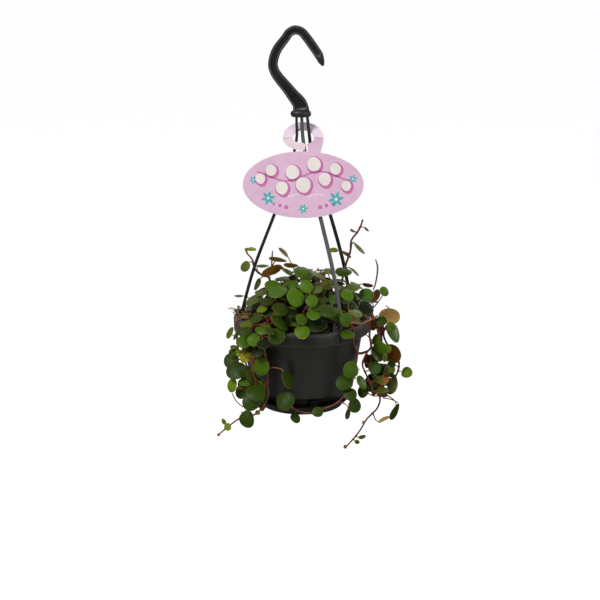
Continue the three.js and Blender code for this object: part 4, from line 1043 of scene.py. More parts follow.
@dataclass
class Hanger:
    """The hook with its recessed sides, the collar under it and the three arms with their pegs."""

    stations: Spots = (
        (24.3, -27.4, 1.0), (22.6, -23.6, 2.8), (20.4, -18.3, 3.8), (14.6, -9.6, 3.9), (8.7, -1.6, 3.9),
        (5.1, 2.3, 3.8), (-0.3, 3.9, 3.9), (-5.4, 1.7, 3.9), (-8.9, -3.2, 3.9), (-16.7, -13.9, 4.2),
        (-20.0, -25.6, 4.3), (-18.5, -32.4, 4.3), (-14.8, -38.1, 4.5), (-6.7, -47.8, 4.9), (-2.4, -53.4, 5.4),
        (3.2, -60.6, 6.4), (4.7, -66.2, 7.2), (4.7, -70.0, 7.6),
    )
    seat: Spot = (-5.6, 0.0, 255.6)
    depth: float = 6.0
    border: float = 1.9
    recess: float = 1.7
    foot_radius: float = 55.1
    foot_height: float = 1.8
    arm_width: float = 3.5
    arm_thickness: float = 2.9
    arm_neck: float = 0.76
    arm_steps: int = 70
    arm_sides: int = 14
    lips: tuple[int, ...] = (3, 7, 15, 19)
    recesses: tuple[int, ...] = (4, 5, 6, 16, 17, 18)
    sheen_arm: int = 1
    peg_radius: float = 1.1
    peg_height: float = 5.35
    peg_end: float = 60.6
    peg_head: float = 1.45
    peg_head_length: float = 1.4
    arms: tuple[tuple[float, Spots], ...] = (
        (180.0, ((-5, 0, 186), (-4.8, 0, 176), (-4.6, 0, 166), (-7.3, 0, 150), (-15, 0, 122),
                 (-24.6, 0, 95.4), (-42.8, 0, 47), (-52.2, 0, 14))),
        (-57.0, ((-0.4, -0.6, 186), (0, -1, 176), (0.6, -1.7, 166), (3, -5.2, 150), (9.9, -12.5, 122),
                 (16.5, -20.1, 95.4), (28.2, -36.5, 47), (33, -44, 13))),
        (33.0, ((4.4, -0.4, 186), (5.4, -0.2, 176), (6.5, 0.2, 166), (8.6, 2.6, 150), (16.2, 8, 122),
                (24.4, 13.2, 95.4), (37.4, 23.4, 47), (43.9, 28.4, 14))),
    )

    def hook_section(self, half: float, sunk: float) -> list[Pair]:
        """Half of the limb's outline, from one edge across the front to the other.

        Args:
            half: Half of the limb's width.
            sunk: How much of the full recess there is, from 0 to 1.

        Returns:
            Places across and out from the limb's middle.
        """
        out = self.depth / 2
        inner = max(half - self.border, 0.12 * half)
        floor = out - self.recess * sunk
        soft = min(0.55, 0.3 * half)
        one = [
            (half, out - 1.1), (half - 0.12 * soft, out - 0.55 * soft), (half - soft, out),
            (min(inner + 1.5 * soft, half - 1.1 * soft), out), (inner + 0.2 * soft, out - 0.7 * soft * sunk),
            (inner - 0.25 * soft, floor),
        ]
        return [*one, *((-a, e) for a, e in reversed(one))]

    def hook(self) -> Piece:
        """The hook: rings along its limb, drawn together at the tip.

        Returns:
            The hook.
        """
        steps = 110
        spine = smooth_route([(x, 0, z) for x, z, _ in self.stations], steps)
        marks = np.linspace(0, len(self.stations) - 1, steps + 1)
        halves = np.interp(marks, range(len(self.stations)), [half for _, _, half in self.stations])
        rows, depths = [], []
        for i in range(steps + 1):
            ahead = ahead_at(spine, i)
            across = np.array((-ahead[2], 0, ahead[0]))
            left = len(self.stations) - 1.9 - marks[i]
            into = np.clip((marks[i] - 1.6) / 0.7, 0, 1) * np.clip(left / 0.5, 0, 1)
            depths.append(into)
            half_row = self.hook_section(halves[i], into * into * (3 - 2 * into))
            full = [*half_row, *((a, -e) for a, e in reversed(half_row))]
            narrow = 1.0 if i > 2 else (0.55, 0.85, 0.96)[i]
            rows.append([spine[i] + narrow * (a * across + np.array((0, e, 0))) for a, e in full])
        sides = len(rows[0])
        points = np.vstack(rows) + np.array(self.seat)
        hook = mesh_piece("hook", points, skin_faces(steps + 1, sides))
        # Faces along the recess's lips take the paler copy as a painted highlight; faces down in the recess
        # take the darker copy as painted shade.
        for face in hook.data.polygons:
            strip = min(face.vertices[0] % sides, face.vertices[1] % sides)
            if len(face.vertices) == 4 and depths[min(face.vertices) // sides] > 0.4:
                face.material_index = 1 if strip in self.lips else 2 if strip in self.recesses else 0
        face_outwards(hook)
        return soften(hook, 0, angle=50)

    def collar(self) -> Piece:
        """The bulged collar that the arms hang from.

        Returns:
            The collar.
        """
        profile = [(0.5, -2.6), (7.2, -2.6), (8.1, -2.3), (8.8, -1.4), (9.2, -0.2), (9.2, 0.6), (8.9, 1.7),
                   (8.2, 2.5), (7.2, 3.0), (0.5, 3.0)]
        collar = turned("collar", profile, 64)
        centre = placed(0, 0, 0)
        shift = Matrix.Translation(placed(-1, 0, 185.6))
        collar.data.transform(shift @ Matrix.Diagonal((1, 0.6, 1, 1)) @ Matrix.Translation(-centre))
        return soften(collar, 0)

    def arm_path(self, angle: float, route: Sequence[Spot]) -> np.ndarray:
        """The line along an arm's middle, from the collar to its foot."""
        foot = level(angle) * self.foot_radius + UP * self.foot_height
        return smooth_route([*route, tuple(foot)], self.arm_steps)

    def arm(self, angle: float, route: Sequence[Spot]) -> Piece:
        """One arm: a strap with rounded edges, slimmer at its collar, its flat side facing outwards.

        Args:
            angle: Its foot's place round the rim, in degrees.
            route: The places that it passes.

        Returns:
            The arm.
        """
        steps, sides = self.arm_steps, self.arm_sides
        path = self.arm_path(angle, route)
        turns = 2 * math.pi * (np.arange(sides) + 0.5) / sides
        wide = np.sign(np.cos(turns)) * np.abs(np.cos(turns)) ** 0.7 * self.arm_width / 2
        thick = np.sign(np.sin(turns)) * np.abs(np.sin(turns)) ** 0.7 * self.arm_thickness / 2
        rows = []
        for i, point in enumerate(path):
            ahead = ahead_at(path, i)
            side = unit(np.cross(ahead, level(angle)))
            flat = np.cross(side, ahead)
            size = self.arm_neck + (1 - self.arm_neck) * min(1.0, 2 * i / steps)
            rows.append(point + size * (np.outer(wide, side) + np.outer(thick, flat)))
        arm = mesh_piece("arm", np.vstack(rows), skin_faces(steps + 1, sides))
        face_outwards(arm)
        return soften(arm, 0, angle=60)

    def peg(self, angle: float) -> Piece:
        """The peg that hooks through an ear's hole, with its snap head.

        Args:
            angle: Its place round the rim, in degrees.

        Returns:
            The peg.
        """
        deselect_all()
        start, end = self.foot_radius - 0.4, self.peg_end
        length = (end - start) * MM
        bpy.ops.mesh.primitive_cylinder_add(vertices=24, radius=self.peg_radius * MM, depth=length)
        peg = named("peg")
        neck = length / 2 - self.peg_head_length * MM
        open_mesh()
        bpy.ops.mesh.bisect(plane_co=(0, 0, neck), plane_no=(0, 0, 1))
        bpy.ops.object.mode_set(mode="OBJECT")
        for vertex in peg.data.vertices:
            if vertex.co.z > neck + 0.1 * MM:
                vertex.co.x *= self.peg_head
                vertex.co.y *= self.peg_head
        soften(peg, 0.25)
        middle = Matrix.Translation(((start + end) / 2 * MM, 0, self.peg_height * MM))
        peg.data.transform(about_axis(angle) @ middle @ Matrix.Rotation(math.pi / 2, 4, "Y"))
        return peg

    def build(self, finish: Finish, wear_and_highlight: Finish, shaded: Finish) -> None:
        """Makes the hanger and hands it over.

        Args:
            finish: The plastic's finish.
            wear_and_highlight: Its paler copy: painted highlights along the recess's lips and painted sheen
                on the front arm.
            shaded: Its darker copy: painted shade down in the recess.
        """
        hook, collar = self.hook(), self.collar()
        dress(hook, finish, wear_and_highlight, shaded)
        dress(collar, finish)
        pieces = [hook, collar]
        for index, (angle, route) in enumerate(self.arms):
            arm, peg = self.arm(angle, route), self.peg(angle)
            # The front arm takes the paler copy as painted sheen.
            dress(arm, wear_and_highlight if index == self.sheen_arm else finish)
            dress(peg, finish)
            pieces += [arm, peg]
        hanger = merge_pieces("hanger_moulding", pieces)
        hand_over(hanger, "hanger_plastic", "hanger")


# Tag


def ellipse(
    x: float, z: float, wide: float, high: float, start: float = 0, end: float = 360, steps: int = 96
) -> list[Pair]:
    """Points along an ellipse, by its angles in degrees."""
    angles = np.radians(np.linspace(start, end, steps + 1))
    return [(x + wide * math.cos(a), z + high * math.sin(a)) for a in angles]


@dataclass
class Tag:
    """The oval card tag with its split ring and a plain printed pattern of leaves and small flowers."""

    half_width: float = 53.5
    half_height: float = 29.5
    ring: float = 18.0
    hole: float = 9.6
    thickness: float = 1.0
    middle: float = -41.5
    fold: Spot = (1.0, -4.5, 165.0)
    lean: float = 15.5
    fold_back: float = 54.0
    ink: float = 0.07
    vine_reach: float = 41.0
    vine_leaves: int = 9
    leaf_pitch: float = 9.5
    shadow: Spot = (0.9, -1.0, 1.4)
    flowers: Spots = (
        (-31, -12, 6.4), (29, -13, 7.2), (-44, 4, 3.8), (44, 5, 4.2), (0, -21.5, 4.6),
    )
    petals: int = 6
    petal_width: float = 0.2
    dots: int = 15
    seeds: int = 3

    def plate(self, name: str, outline: Outline, thickness: float, front: float, lean: float) -> Piece:
        """A flat plate cut to an outline, leaned about the fold.

        Args:
            name: The piece's name.
            outline: Points across and up from the fold.
            thickness: The plate's thickness.
            front: How far its middle stands in front of the card's middle.
            lean: Degrees by which its bottom leans out.

        Returns:
            The plate.
        """
        curve = bpy.data.curves.new(name, "CURVE")
        curve.dimensions = "2D"
        curve.fill_mode = "BOTH"
        curve.extrude = thickness / 2 * MM
        spline = curve.splines.new("POLY")
        points = list(outline)
        if math.dist(points[0], points[-1]) < 1e-6:
            points.pop()
        spline.points.add(len(points) - 1)
        for point, (x, z) in zip(spline.points, points):
            point.co = (x * MM, z * MM, 0, 1)
        spline.use_cyclic_u = True
        piece = bpy.data.objects.new(name, curve)
        bpy.context.collection.objects.link(piece)
        pick(piece)
        bpy.ops.object.convert(target="MESH")
        piece = named(name)
        upright = Matrix.Translation((0, -front * MM, 0)) @ Matrix.Rotation(math.pi / 2, 4, "X")
        tilt = Matrix.Rotation(math.radians(-lean), 4, "X")
        piece.data.transform(Matrix.Translation(placed(*self.fold)) @ tilt @ upright)
        face_outwards(piece, merge=1e-7)
        return piece

    def card(self) -> Piece:
        """The die-cut card: oval, neck, the ring's lower left, and its upper half folded back.

        Returns:
            The card.
        """
        oval = ellipse(0, self.middle, self.half_width, self.half_height, steps=160)
        horn = [
            (-self.ring, 0.4), *ellipse(0, 0, self.ring, 11.2, 180, 270, 24), (1.4, -11.1), (2, -5.6),
            (0, -4.6), *ellipse(0, 0, self.hole, 4.6, 270, 180, 24), (-self.hole, 0.4),
        ]
        neck = [
            (self.ring, 0.4), (self.hole, 0.4), *ellipse(0, 0, self.hole, 6, 0, -72, 20), (4, -8), (4.4, -14),
            (14, -15.4), (15.2, -13), (16.2, -10.6), *ellipse(0, 0, self.ring, 22, -24, 0, 16),
        ]
        top = [
            (self.ring, -0.4), *ellipse(0, 0, self.ring, self.ring + 1, 0, 180, 56), (-self.ring, -0.4),
            (-self.hole, -0.4), *ellipse(0, 0, self.hole, self.hole, 180, 0, 40), (self.hole, -0.4),
        ]
        card = self.plate("tag_card", oval, self.thickness, 0, self.lean)
        leans = (("neck", neck, self.lean), ("horn", horn, self.lean), ("fold", top, self.fold_back))
        parts = [self.plate(name, outline, self.thickness, 0, lean) for name, outline, lean in leans]
        carve(card, parts, "UNION")
        return card

    def leaf_outline(self, x: float, z: float, size: float, turn: float) -> list[Pair]:
        """A round leaf with a blunt point.

        Args:
            x: Its middle across the card.
            z: Its middle up from the fold.
            size: Its radius.
            turn: Where its point is, in radians.

        Returns:
            The outline.
        """
        out = []
        for a in np.radians(np.linspace(0, 360, 41)):
            reach = size * (1 + 0.16 * max(0.0, math.cos(a)) ** 6)
            out.append((x + reach * math.cos(a + turn), z + reach * math.sin(a + turn)))
        return out

    def petal_outline(self, x: float, z: float, long: float, turn: float) -> list[Pair]:
        """A narrow petal that starts at a point and runs out at an angle.

        Args:
            x: Its start across the card.
            z: Its start up from the fold.
            long: Its length.
            turn: Its angle in radians.

        Returns:
            The outline.
        """
        wide = long * self.petal_width
        out = [(long * share, wide * math.sin(math.pi * share) ** 0.8) for share in np.linspace(0, 1, 13)]
        out += [(a, -b) for a, b in reversed(out[1:-1])]
        cos, sin = math.cos(turn), math.sin(turn)
        return [(x + a * cos - b * sin, z + a * sin + b * cos) for a, b in out]

    def vine(self, x: float) -> float:
        """The height of the printed vine's line."""
        return self.middle + 7.5 + 4.2 * math.sin(x / 9.5)

    def band(self, points: Outline, wide: float) -> list[Pair]:
        """A line of points given a width.

        Args:
            points: The line's points.
            wide: Its width.

        Returns:
            The outline.
        """
        line = np.array(points)
        ahead = np.gradient(line, axis=0)
        side = np.stack([-ahead[:, 1], ahead[:, 0]], 1) / np.linalg.norm(ahead, axis=1)[:, None]
        return [*map(tuple, line + side * wide / 2), *map(tuple, (line - side * wide / 2)[::-1])]

    def pattern(self) -> dict[str, list[Piece]]:
        """The printed shapes by ink: a vine of round leaves, small flowers and a dotted line.

        Returns:
            The shapes of each ink.
        """
        shapes: dict[str, list[Piece]] = {"rose": [], "cream": [], "teal": []}

        def add(ink: str, name: str, outline: Outline, layer: int = 1) -> None:
            """Prints one shape, a hair's breadth proud of what is under it."""
            front = self.thickness / 2 + self.ink * (layer - 0.5)
            shapes[ink].append(self.plate(name, outline, self.ink, front, self.lean))

        xs = np.linspace(-self.vine_reach, self.vine_reach, 70)
        add("rose", "vine", self.band([(x, self.vine(x)) for x in xs], 1.3))
        right, down, grown = self.shadow
        for k in range(self.vine_leaves):
            x = self.leaf_pitch * (k - (self.vine_leaves - 1) / 2)
            side = 1 if k % 2 else -1
            size = 6.6 - 0.06 * abs(x)
            z = self.vine(x) + side * (size + 0.8)
            turn = side * math.pi / 2 + 0.25
            add("rose", "leaf_shadow", self.leaf_outline(x + right, z + down, size + grown, turn))
            add("cream", "leaf_print", self.leaf_outline(x, z, size, turn), 2)
        for x, z, size in self.flowers:
            z += self.middle
            for k in range(self.petals):
                add("teal", "petal", self.petal_outline(x, z, size, math.radians(360 / self.petals * k + 12)))
            add("cream", "flower_middle", ellipse(x, z, size / 5, size / 5, steps=20), 2)
        for k in range(self.dots):
            z = self.middle - 9.5 - 0.9 * math.sin(k * 0.9)
            add("cream", "dot", ellipse(2.5 * (k - self.dots // 2), z, 0.8, 0.8, steps=16))
        for side in (-1, 1):
            for k in range(self.seeds):
                x, z, size = side * (15 + 5.5 * k), self.middle - 20 + 1.4 * k, 1.9 - 0.35 * k
                add("rose", "seed", ellipse(x, z, size, size, steps=24))
        return shapes

    def build(self, inks: dict[str, Finish]) -> None:
        """Makes the card and its print and hands them over.

        Args:
            inks: The finish of each ink, by its name.
        """
        card = soften(self.card(), 0, angle=40)
        dress(card, *(inks[ink] for ink in ("pink", "core", "lilac", "blush")))
        for face in card.data.polygons:
            spot = face.center / MM - RIM_CENTRE
            if abs(face.normal.x) > 0.5 or abs(face.area) < 6e-7 and abs(face.normal.y) < 0.6:
                face.material_index = 1
            elif spot.z > self.fold[2] + 0.6:
                face.material_index = 2
            elif spot.z > self.fold[2] - 11.4 and spot.x < self.fold[0] + 1.5:
                face.material_index = 3
        hand_over(card, "tag_card", "tag")
        for ink, pieces in self.pattern().items():
            print_piece = merge_pieces(f"tag_print_{ink}", pieces)
            print_piece.data.materials.clear()
            dress(print_piece, inks[ink])
            hand_over(print_piece, "tag_card")


# Plant


class Tone(Enum):
    """Colours of blades, stems and stalks, as they show on a screen."""

    LIGHT = (110, 138, 14)
    YELLOW = (150, 142, 34)
    BRIGHT = (80, 114, 18)
    MID = (72, 103, 14)
    BLUE = (74, 108, 38)
    GREY = (94, 108, 54)
    DARK = (53, 72, 14)
    FOREST = (52, 76, 2)
    # Painted shade: the tone of leaves that stand in shade in the crown.
    DEEP_SHADE = (26, 38, 10)
    OLIVE = (90, 104, 26)
    BROWN = (160, 106, 56)
    RUST = (92, 60, 22)
    MAROON = (122, 68, 54)
    TAN = (172, 140, 86)
    PALE_BROWN = (178, 140, 100)
    PALE_UNDER = (104, 116, 60)
    STEM_RED = (132, 56, 32)
    STEM_DARK = (88, 42, 28)
    STEM_BROWN = (136, 76, 46)
    STALK_TAN = (186, 134, 86)
    STALK_DARK = (70, 46, 38)
    BUD = (166, 122, 70)
    SPIKE = (96, 98, 88)
    DRY = (170, 142, 104)


# Tones of single leaves, by the pixel at which the photograph shows each one's middle
SEEN_TONES: dict[Tone, Pairs] = {
    Tone.LIGHT: ((251.5, 249), (334, 250), (262, 308.5), (239.5, 352.5), (232.3, 385.2), (227.5, 426.5),
                 (406.5, 372.5), (223.8, 421.5)),
    Tone.YELLOW: ((246.5, 355),),
    Tone.BRIGHT: ((273.5, 285.5), (296, 297), (346.5, 294), (302, 331), (254, 339), (311.5, 300.5),
                  (306.5, 286.5), (384, 291.5)),
    Tone.MID: ((304, 273.5), (263, 328), (244, 341), (346.5, 319.5), (347.5, 333.5), (247.5, 378),
               (261.3, 366), (351.3, 369.5), (314, 313.5), (301.5, 318.5), (353.5, 271), (361.5, 382),
               (391, 327), (393.5, 332)),
    Tone.BLUE: ((366, 295.5), (359, 248), (334, 299)),
    Tone.GREY: ((257.5, 284), (253, 300), (262, 291.5), (355.5, 312.5), (353, 287), (287, 271), (317, 289),
                (375.5, 356), (392, 385), (329, 270.5), (318.5, 275), (262.5, 266), (246, 316)),
    Tone.DARK: ((284, 286), (343.5, 271.5), (316, 281), (267, 300.5), (280, 308.5), (280, 322), (322, 306.5),
                (329, 310.5), (351, 305), (322, 299), (231.5, 360.5), (249, 350), (363, 391), (383, 368.5),
                (378.5, 355), (381, 320.5), (260, 315), (236, 369.8), (387, 371), (272, 293), (372, 301.5),
                (256, 318), (269, 313), (270, 330), (246, 330), (237.5, 333), (348, 413), (374.5, 377)),
    Tone.FOREST: ((246.5, 418.5), (317.8, 411.5), (285.5, 401), (287.5, 378), (354.5, 405), (276, 335.5),
                  (241, 391), (251.7, 401), (344.5, 382), (350, 393.5), (255.7, 391.3), (295.5, 417.5),
                  (394.5, 411.5)),
    # Leaves that stand in shade get the painted shade tone.
    Tone.DEEP_SHADE: ((323, 327), (313, 322), (366.5, 308), (263, 343), (371.5, 382), (291, 312), (258, 351)),
    Tone.OLIVE: ((245.5, 266), (239, 296), (327, 283.5), (391.5, 370), (385, 357), (248, 323), (230, 332.5),
                 (234, 347), (381, 390), (362, 437), (357, 442)),
    Tone.BROWN: ((272, 270), (291, 265), (346.5, 254.5), (384, 380), (373, 324)),
    Tone.PALE_BROWN: ((284, 252.5), (278, 259.5)),
    Tone.RUST: ((375, 296), (392.5, 353), (367.5, 361), (382, 394.5), (262.5, 407)),
    Tone.MAROON: ((367.5, 285),),
    Tone.TAN: ((389, 316), (383.5, 419.5)),
}

UNSEEN_TONES = (
    Tone.MID, Tone.MID, Tone.BRIGHT, Tone.BRIGHT, Tone.DARK, Tone.BLUE, Tone.GREY, Tone.DARK, Tone.LIGHT,
)
UNDERSIDES = (Tone.PALE_UNDER, Tone.OLIVE, Tone.BROWN, Tone.PALE_UNDER, Tone.RUST)


def stalk_bend(start: np.ndarray, out: np.ndarray, normal: np.ndarray, reach: float) -> np.ndarray:
    """The place that a stalk bends towards: away from its blade and a little below it."""
    return start + out * STALK_OUT * reach - normal * STALK_DIP * reach


@dataclass
class Blade:
    """A leaf: its middle, facing, radius, the way to its stalk, and the stalk's end and length."""

    centre: np.ndarray
    normal: np.ndarray
    radius: float
    to_base: np.ndarray
    stalk_end: np.ndarray
    reach: float

    @classmethod
    def joined(
        cls, centre: np.ndarray, facing: np.ndarray, radius: float, end: np.ndarray, least: float
    ) -> Blade | None:
        """A leaf whose stalk runs to a place on a stem.

        Args:
            centre: The leaf's middle.
            facing: The way that its upper side faces.
            radius: Its radius.
            end: The place on the stem.
            least: How far to the side of the leaf's middle that place has to be.

        Returns:
            The leaf, or nothing where the place is straight below it.
        """
        away = end - centre
        down = away - facing * (away @ facing)
        if np.linalg.norm(down) < least:
            return None
        to_base = unit(down)
        return cls(centre, facing, radius, to_base, end, float(np.linalg.norm(away - to_base * radius)))

    def is_clear(self, taken: Iterable[Blade], share: float) -> bool:
        """Whether the leaf keeps a share of the two radii from every leaf that is there already."""
        gaps = ((np.linalg.norm(self.centre - other.centre), other.radius) for other in taken)
        return all(gap >= share * (self.radius + radius) for gap, radius in gaps)


@dataclass
class PackedStem:
    """A packed stem's mesh, from which its leaves are read."""

    node: str
    thickness: float = 0.9
    dome: float = 0.16
    base_share: float = 0.98
    long_stalk: float = 15.0
    points: np.ndarray = field(init=False)
    near: list[set[int]] = field(init=False)
    fans: list[np.ndarray] = field(init=False)

    def __post_init__(self) -> None:
        """Merges the node's loose triangles and notes each corner's neighbours and facing."""
        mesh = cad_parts[self.node].data
        loose = np.zeros(len(mesh.vertices) * 3)
        mesh.vertices.foreach_get("co", loose)
        loose = loose.reshape(-1, 3) / MM - np.array(RIM_CENTRE)
        corners = np.zeros(len(mesh.loops), int)
        mesh.loops.foreach_get("vertex_index", corners)
        _, first, merged = np.unique(np.round(loose, 3), axis=0, return_index=True, return_inverse=True)
        self.points = loose[first]
        triangles = merged.reshape(-1)[corners].reshape(-1, 3)
        self.near = [set() for _ in self.points]
        self.fans = [np.zeros(3) for _ in self.points]
        for triangle in triangles:
            a, b, c = (int(corner) for corner in triangle)
            facing = np.cross(self.points[b] - self.points[a], self.points[c] - self.points[a])
            for one, two, three in ((a, b, c), (b, c, a), (c, a, b)):
                self.near[one].update((two, three))
                self.fans[one] = self.fans[one] + facing

    def blades(self) -> list[Blade]:
        """Finds each blade by the shallow fan of its top and the matching middle of its underside.

        Returns:
            The blades.
        """
        found = []
        for i, point in enumerate(self.points):
            if len(self.near[i]) not in (7, 8):
                continue
            ring = self.points[list(self.near[i])]
            _, _, axes = np.linalg.svd(ring - ring.mean(0))
            normal = axes[2] * (1 if axes[2] @ self.fans[i] > 0 else -1)
            heights = (ring - point) @ normal
            flat = ring - point - np.outer(heights, normal)
            reach = np.linalg.norm(flat, axis=1)
            if np.ptp(heights) > 0.05 or np.ptp(reach) > 0.2 * reach.mean() or heights.mean() > -0.2:
                continue
            below = point - normal * self.thickness
            if np.linalg.norm(self.points - below, axis=1).min() > 0.05:
                continue
            found.append(self.blade(i, point, normal, flat))
        return found

    def blade(self, index: int, point: np.ndarray, normal: np.ndarray, flat: np.ndarray) -> Blade:
        """Measures one blade from the corners round its top's middle.

        Args:
            index: The middle corner.
            point: Its place.
            normal: The blade's facing.
            flat: The rim's corners from the middle, in the blade's plane.

        Returns:
            The blade.
        """
        gaps = np.linalg.norm(flat[:, None] - flat[None], axis=2) + 99 * np.eye(len(flat))
        one, two = np.unravel_index(gaps.argmin(), gaps.shape)
        base = (flat[one] + flat[two]) / 2
        to_base = unit(base)
        radius = float(np.linalg.norm(flat[one])) / self.base_share
        centre = point - normal * (self.thickness / 2 + self.dome * radius)
        rim = list(self.near[index])
        own = {index, *rim}
        edge = [rim[one], rim[two]]
        bottom = centre + to_base * self.base_share * radius - normal * self.thickness / 2
        lowest = int(np.linalg.norm(self.points - bottom, axis=1).argmin())
        under = int(np.linalg.norm(self.points - (point - normal * self.thickness), axis=1).argmin())
        own |= {under, *self.near[under]}
        following = {k for corner in (*edge, lowest) for k in self.near[corner]} - own
        start = centre + to_base * 0.97 * radius
        if not following:
            return Blade(centre, normal, radius, to_base, start + to_base * 2, 2.0)
        ring = self.points[list(following)].mean(0)
        end, reach = self.stalk_end(start, ring, to_base, normal, 0.5)
        if reach > self.long_stalk:
            end, reach = self.stalk_end(start, ring, to_base, normal, 1 / 3)
        return Blade(centre, normal, radius, to_base, end, reach)

    @staticmethod
    def stalk_end(
        start: np.ndarray, ring: np.ndarray, out: np.ndarray, normal: np.ndarray, share: float
    ) -> tuple[np.ndarray, float]:
        """Finds where a stalk ends.

        Args:
            start: The place where it leaves the blade.
            ring: The place that it has reached at a share of its way.
            out: The way from the blade's middle to its base.
            normal: The blade's facing.
            share: That share of the way.

        Returns:
            The stalk's end, and how far that is from its start.
        """
        reach = 2 * float(np.linalg.norm(ring - start))
        end = ring
        for _ in range(30):
            bend = stalk_bend(start, out, normal, reach)
            end = (ring - (1 - share) ** 2 * start - 2 * share * (1 - share) * bend) / share**2
            reach = 0.5 * (reach + float(np.linalg.norm(end - start)))
        return end, reach


@dataclass
class StemRoute:
    """A stem's name and the points that it passes through, from its root to its tip."""

    name: str
    points: list[np.ndarray]


@dataclass
class StemRoutes:
    """The ways of all stems, as the part's source gives them."""

    soil: float = -9.0
    root_depth: float = 12.0
    canopy_centre: Spot = (8.0, -3.0, -6.0)
    canopy_half: Spot = (60.0, 62.0, 54.0)
    mound_reach: float = 0.76
    mound_rings: tuple[tuple[int, float, float, float], ...] = (
        (4, 9, 74, 20), (8, 24, 44, 5), (8, 39, 17, 30),
    )
    back_trails: Pairs = ((56, 40), (87, 68), (104, 32), (132, 82), (144, 54))
    arch: Spots = (
        (352, 322, -38), (360, 323.2, -34), (370, 319.5, -27), (378, 315.5, -22),
    )
    left_shoot: Spots = (
        (269, 278, 7), (262, 275, 7), (255, 269, 8), (252, 259, 8), (247, 253, 8), (246, 249, 8),
    )
    right_shoot: Spots = (
        (343, 276, 8), (346, 264, 7), (350.5, 250, 6), (351.5, 240, 5), (358, 231, 4), (361, 225, 4),
        (362.5, 220.5, 4),
    )
    trails: tuple[tuple[str, float, float, Spots], ...] = (
        ("left", -133, 34, ((254, 349, -51), (252, 361, -52), (253, 372, -52), (256, 383, -50),
                            (257, 393, -48), (253, 402, -47))),
        ("left_long", -124, 41, ((264, 349, -56), (267, 366, -54), (267.5, 382, -51), (268, 396, -48),
                                 (264, 404, -46), (257, 413, -45), (249, 416, -45), (240, 418, -44),
                                 (230, 425, -43), (219, 434, -42))),
        ("left_side", -156, 38, ((238, 327, -30), (237, 339, -30), (238, 350, -31), (236, 361, -32),
                                 (240, 372, -34))),
        ("left_inner", -146, 43, ((246, 333, -41), (246, 346, -43), (244, 357, -44), (247, 367, -44),
                                  (249, 379, -44), (245, 391, -42))),
        ("front_right", -46, 38, ((353, 341, -47), (357, 351, -46), (356, 363, -47), (352, 377, -47),
                                  (346, 391, -46), (338.5, 401.5, -47), (323, 408.5, -49), (307, 412.6, -50),
                                  (297, 410, -50), (291, 406, -49))),
        ("right", -7, 40, ((378, 325, -10), (380, 336, -11), (379, 350, -12), (377, 362, -12),
                           (375.5, 375, -12), (377, 388, -12), (380, 400, -12), (377, 408.5, -12),
                           (367, 419, -12), (361, 429, -12), (356, 436, -12), (347, 446, -12))),
        ("right_outer", 4, 33, ((382.5, 325, 2), (384, 337, 2), (389, 347, 3), (396, 356, 3), (399, 363, 3),
                                (398, 371, 3), (394, 379, 3), (389, 389, 2), (384, 397, 1))),
        ("right_inner", -22, 32, ((369.5, 336, -26), (371, 346, -26), (366, 354, -26), (362.5, 364, -26),
                                  (366, 374, -25), (371, 385, -24), (373, 394, -23))),
    )

    def rooted(
        self, name: str, base: Sequence[float], rest: Iterable[Sequence[float]],
        tail: Iterable[Spot] = (),
    ) -> StemRoute:
        """A stem that starts below its base, inside the soil.

        Args:
            name: Its name.
            base: Where it comes out of the soil.
            rest: The places that it passes next.
            tail: The places after those, by pixel and depth.

        Returns:
            Its route.
        """
        base_point = np.array(base, float)
        root = base_point * (1, 1, 0) + UP * (self.soil - self.root_depth)
        points = [root, base_point, *(np.array(point, float) for point in rest)]
        return StemRoute(f"stem_{name}", points + [PHOTO.seen(*spot) for spot in tail])

    def over_rim(self, degrees: float, radius: float) -> list[np.ndarray]:
        """The way over the rim at an angle, from the root to just outside the skirt.

        Args:
            degrees: The angle.
            radius: How far from the axis the root is.

        Returns:
            The places that it passes.
        """
        out = level(degrees)
        steps = ((radius, self.soil + 1), (radius + 3, -1), (54, 2.8), (62, 3.2), (65.6, -2))
        return [out * reach + UP * height for reach, height in steps]

    def mounds(self) -> list[StemRoute]:
        """The mounded stems, in three rings.

        Returns:
            Their routes.
        """
        routes = []
        for r, (count, radius, lift, first) in enumerate(self.mound_rings):
            for k in range(count):
                out, up = level(first + 360 * k / count), math.radians(lift)
                tip = (out * math.cos(up) + UP * math.sin(up)) * self.mound_reach * self.canopy_half
                tip = tip + self.canopy_centre
                base = out * radius + UP * (self.soil + 1)
                middle = (base + tip) / 2 + UP * 5
                routes.append(self.rooted(f"mound_{r + 1}_{k + 1}", base, [middle, tip]))
        return routes

    def all(self) -> list[StemRoute]:
        """Every stem's route.

        Returns:
            The routes.
        """
        routes = self.mounds()
        for name, degrees, radius, tail in self.trails:
            start, *rim = self.over_rim(degrees, radius)
            routes.append(self.rooted(f"trail_{name}", start, rim, tail))
        foot = self.soil + 1
        routes.append(self.rooted("arch_right", (33, -24, foot), [(38, -30, 2)], self.arch))
        routes.append(self.rooted("shoot_left", (-30, 9, foot), [(-31, 8, 10)], self.left_shoot))
        routes.append(self.rooted("shoot_right", (31, 0, foot), [(34, 4, 12)], self.right_shoot))
        for i, (degrees, drop) in enumerate(self.back_trails):
            start, *rim = self.over_rim(degrees, 42 - 4 * (i % 2))
            hang = []
            for down in range(14, int(drop) + 1, 13):
                out = level(degrees + 3 * math.sin(down / 9 + i))
                hang.append(out * (68.5 + 2 * math.sin(down / 11 + 2 * i)) - UP * down)
            routes.append(self.rooted(f"trail_back_{i + 1}", start, [*rim, *hang]))
        return routes


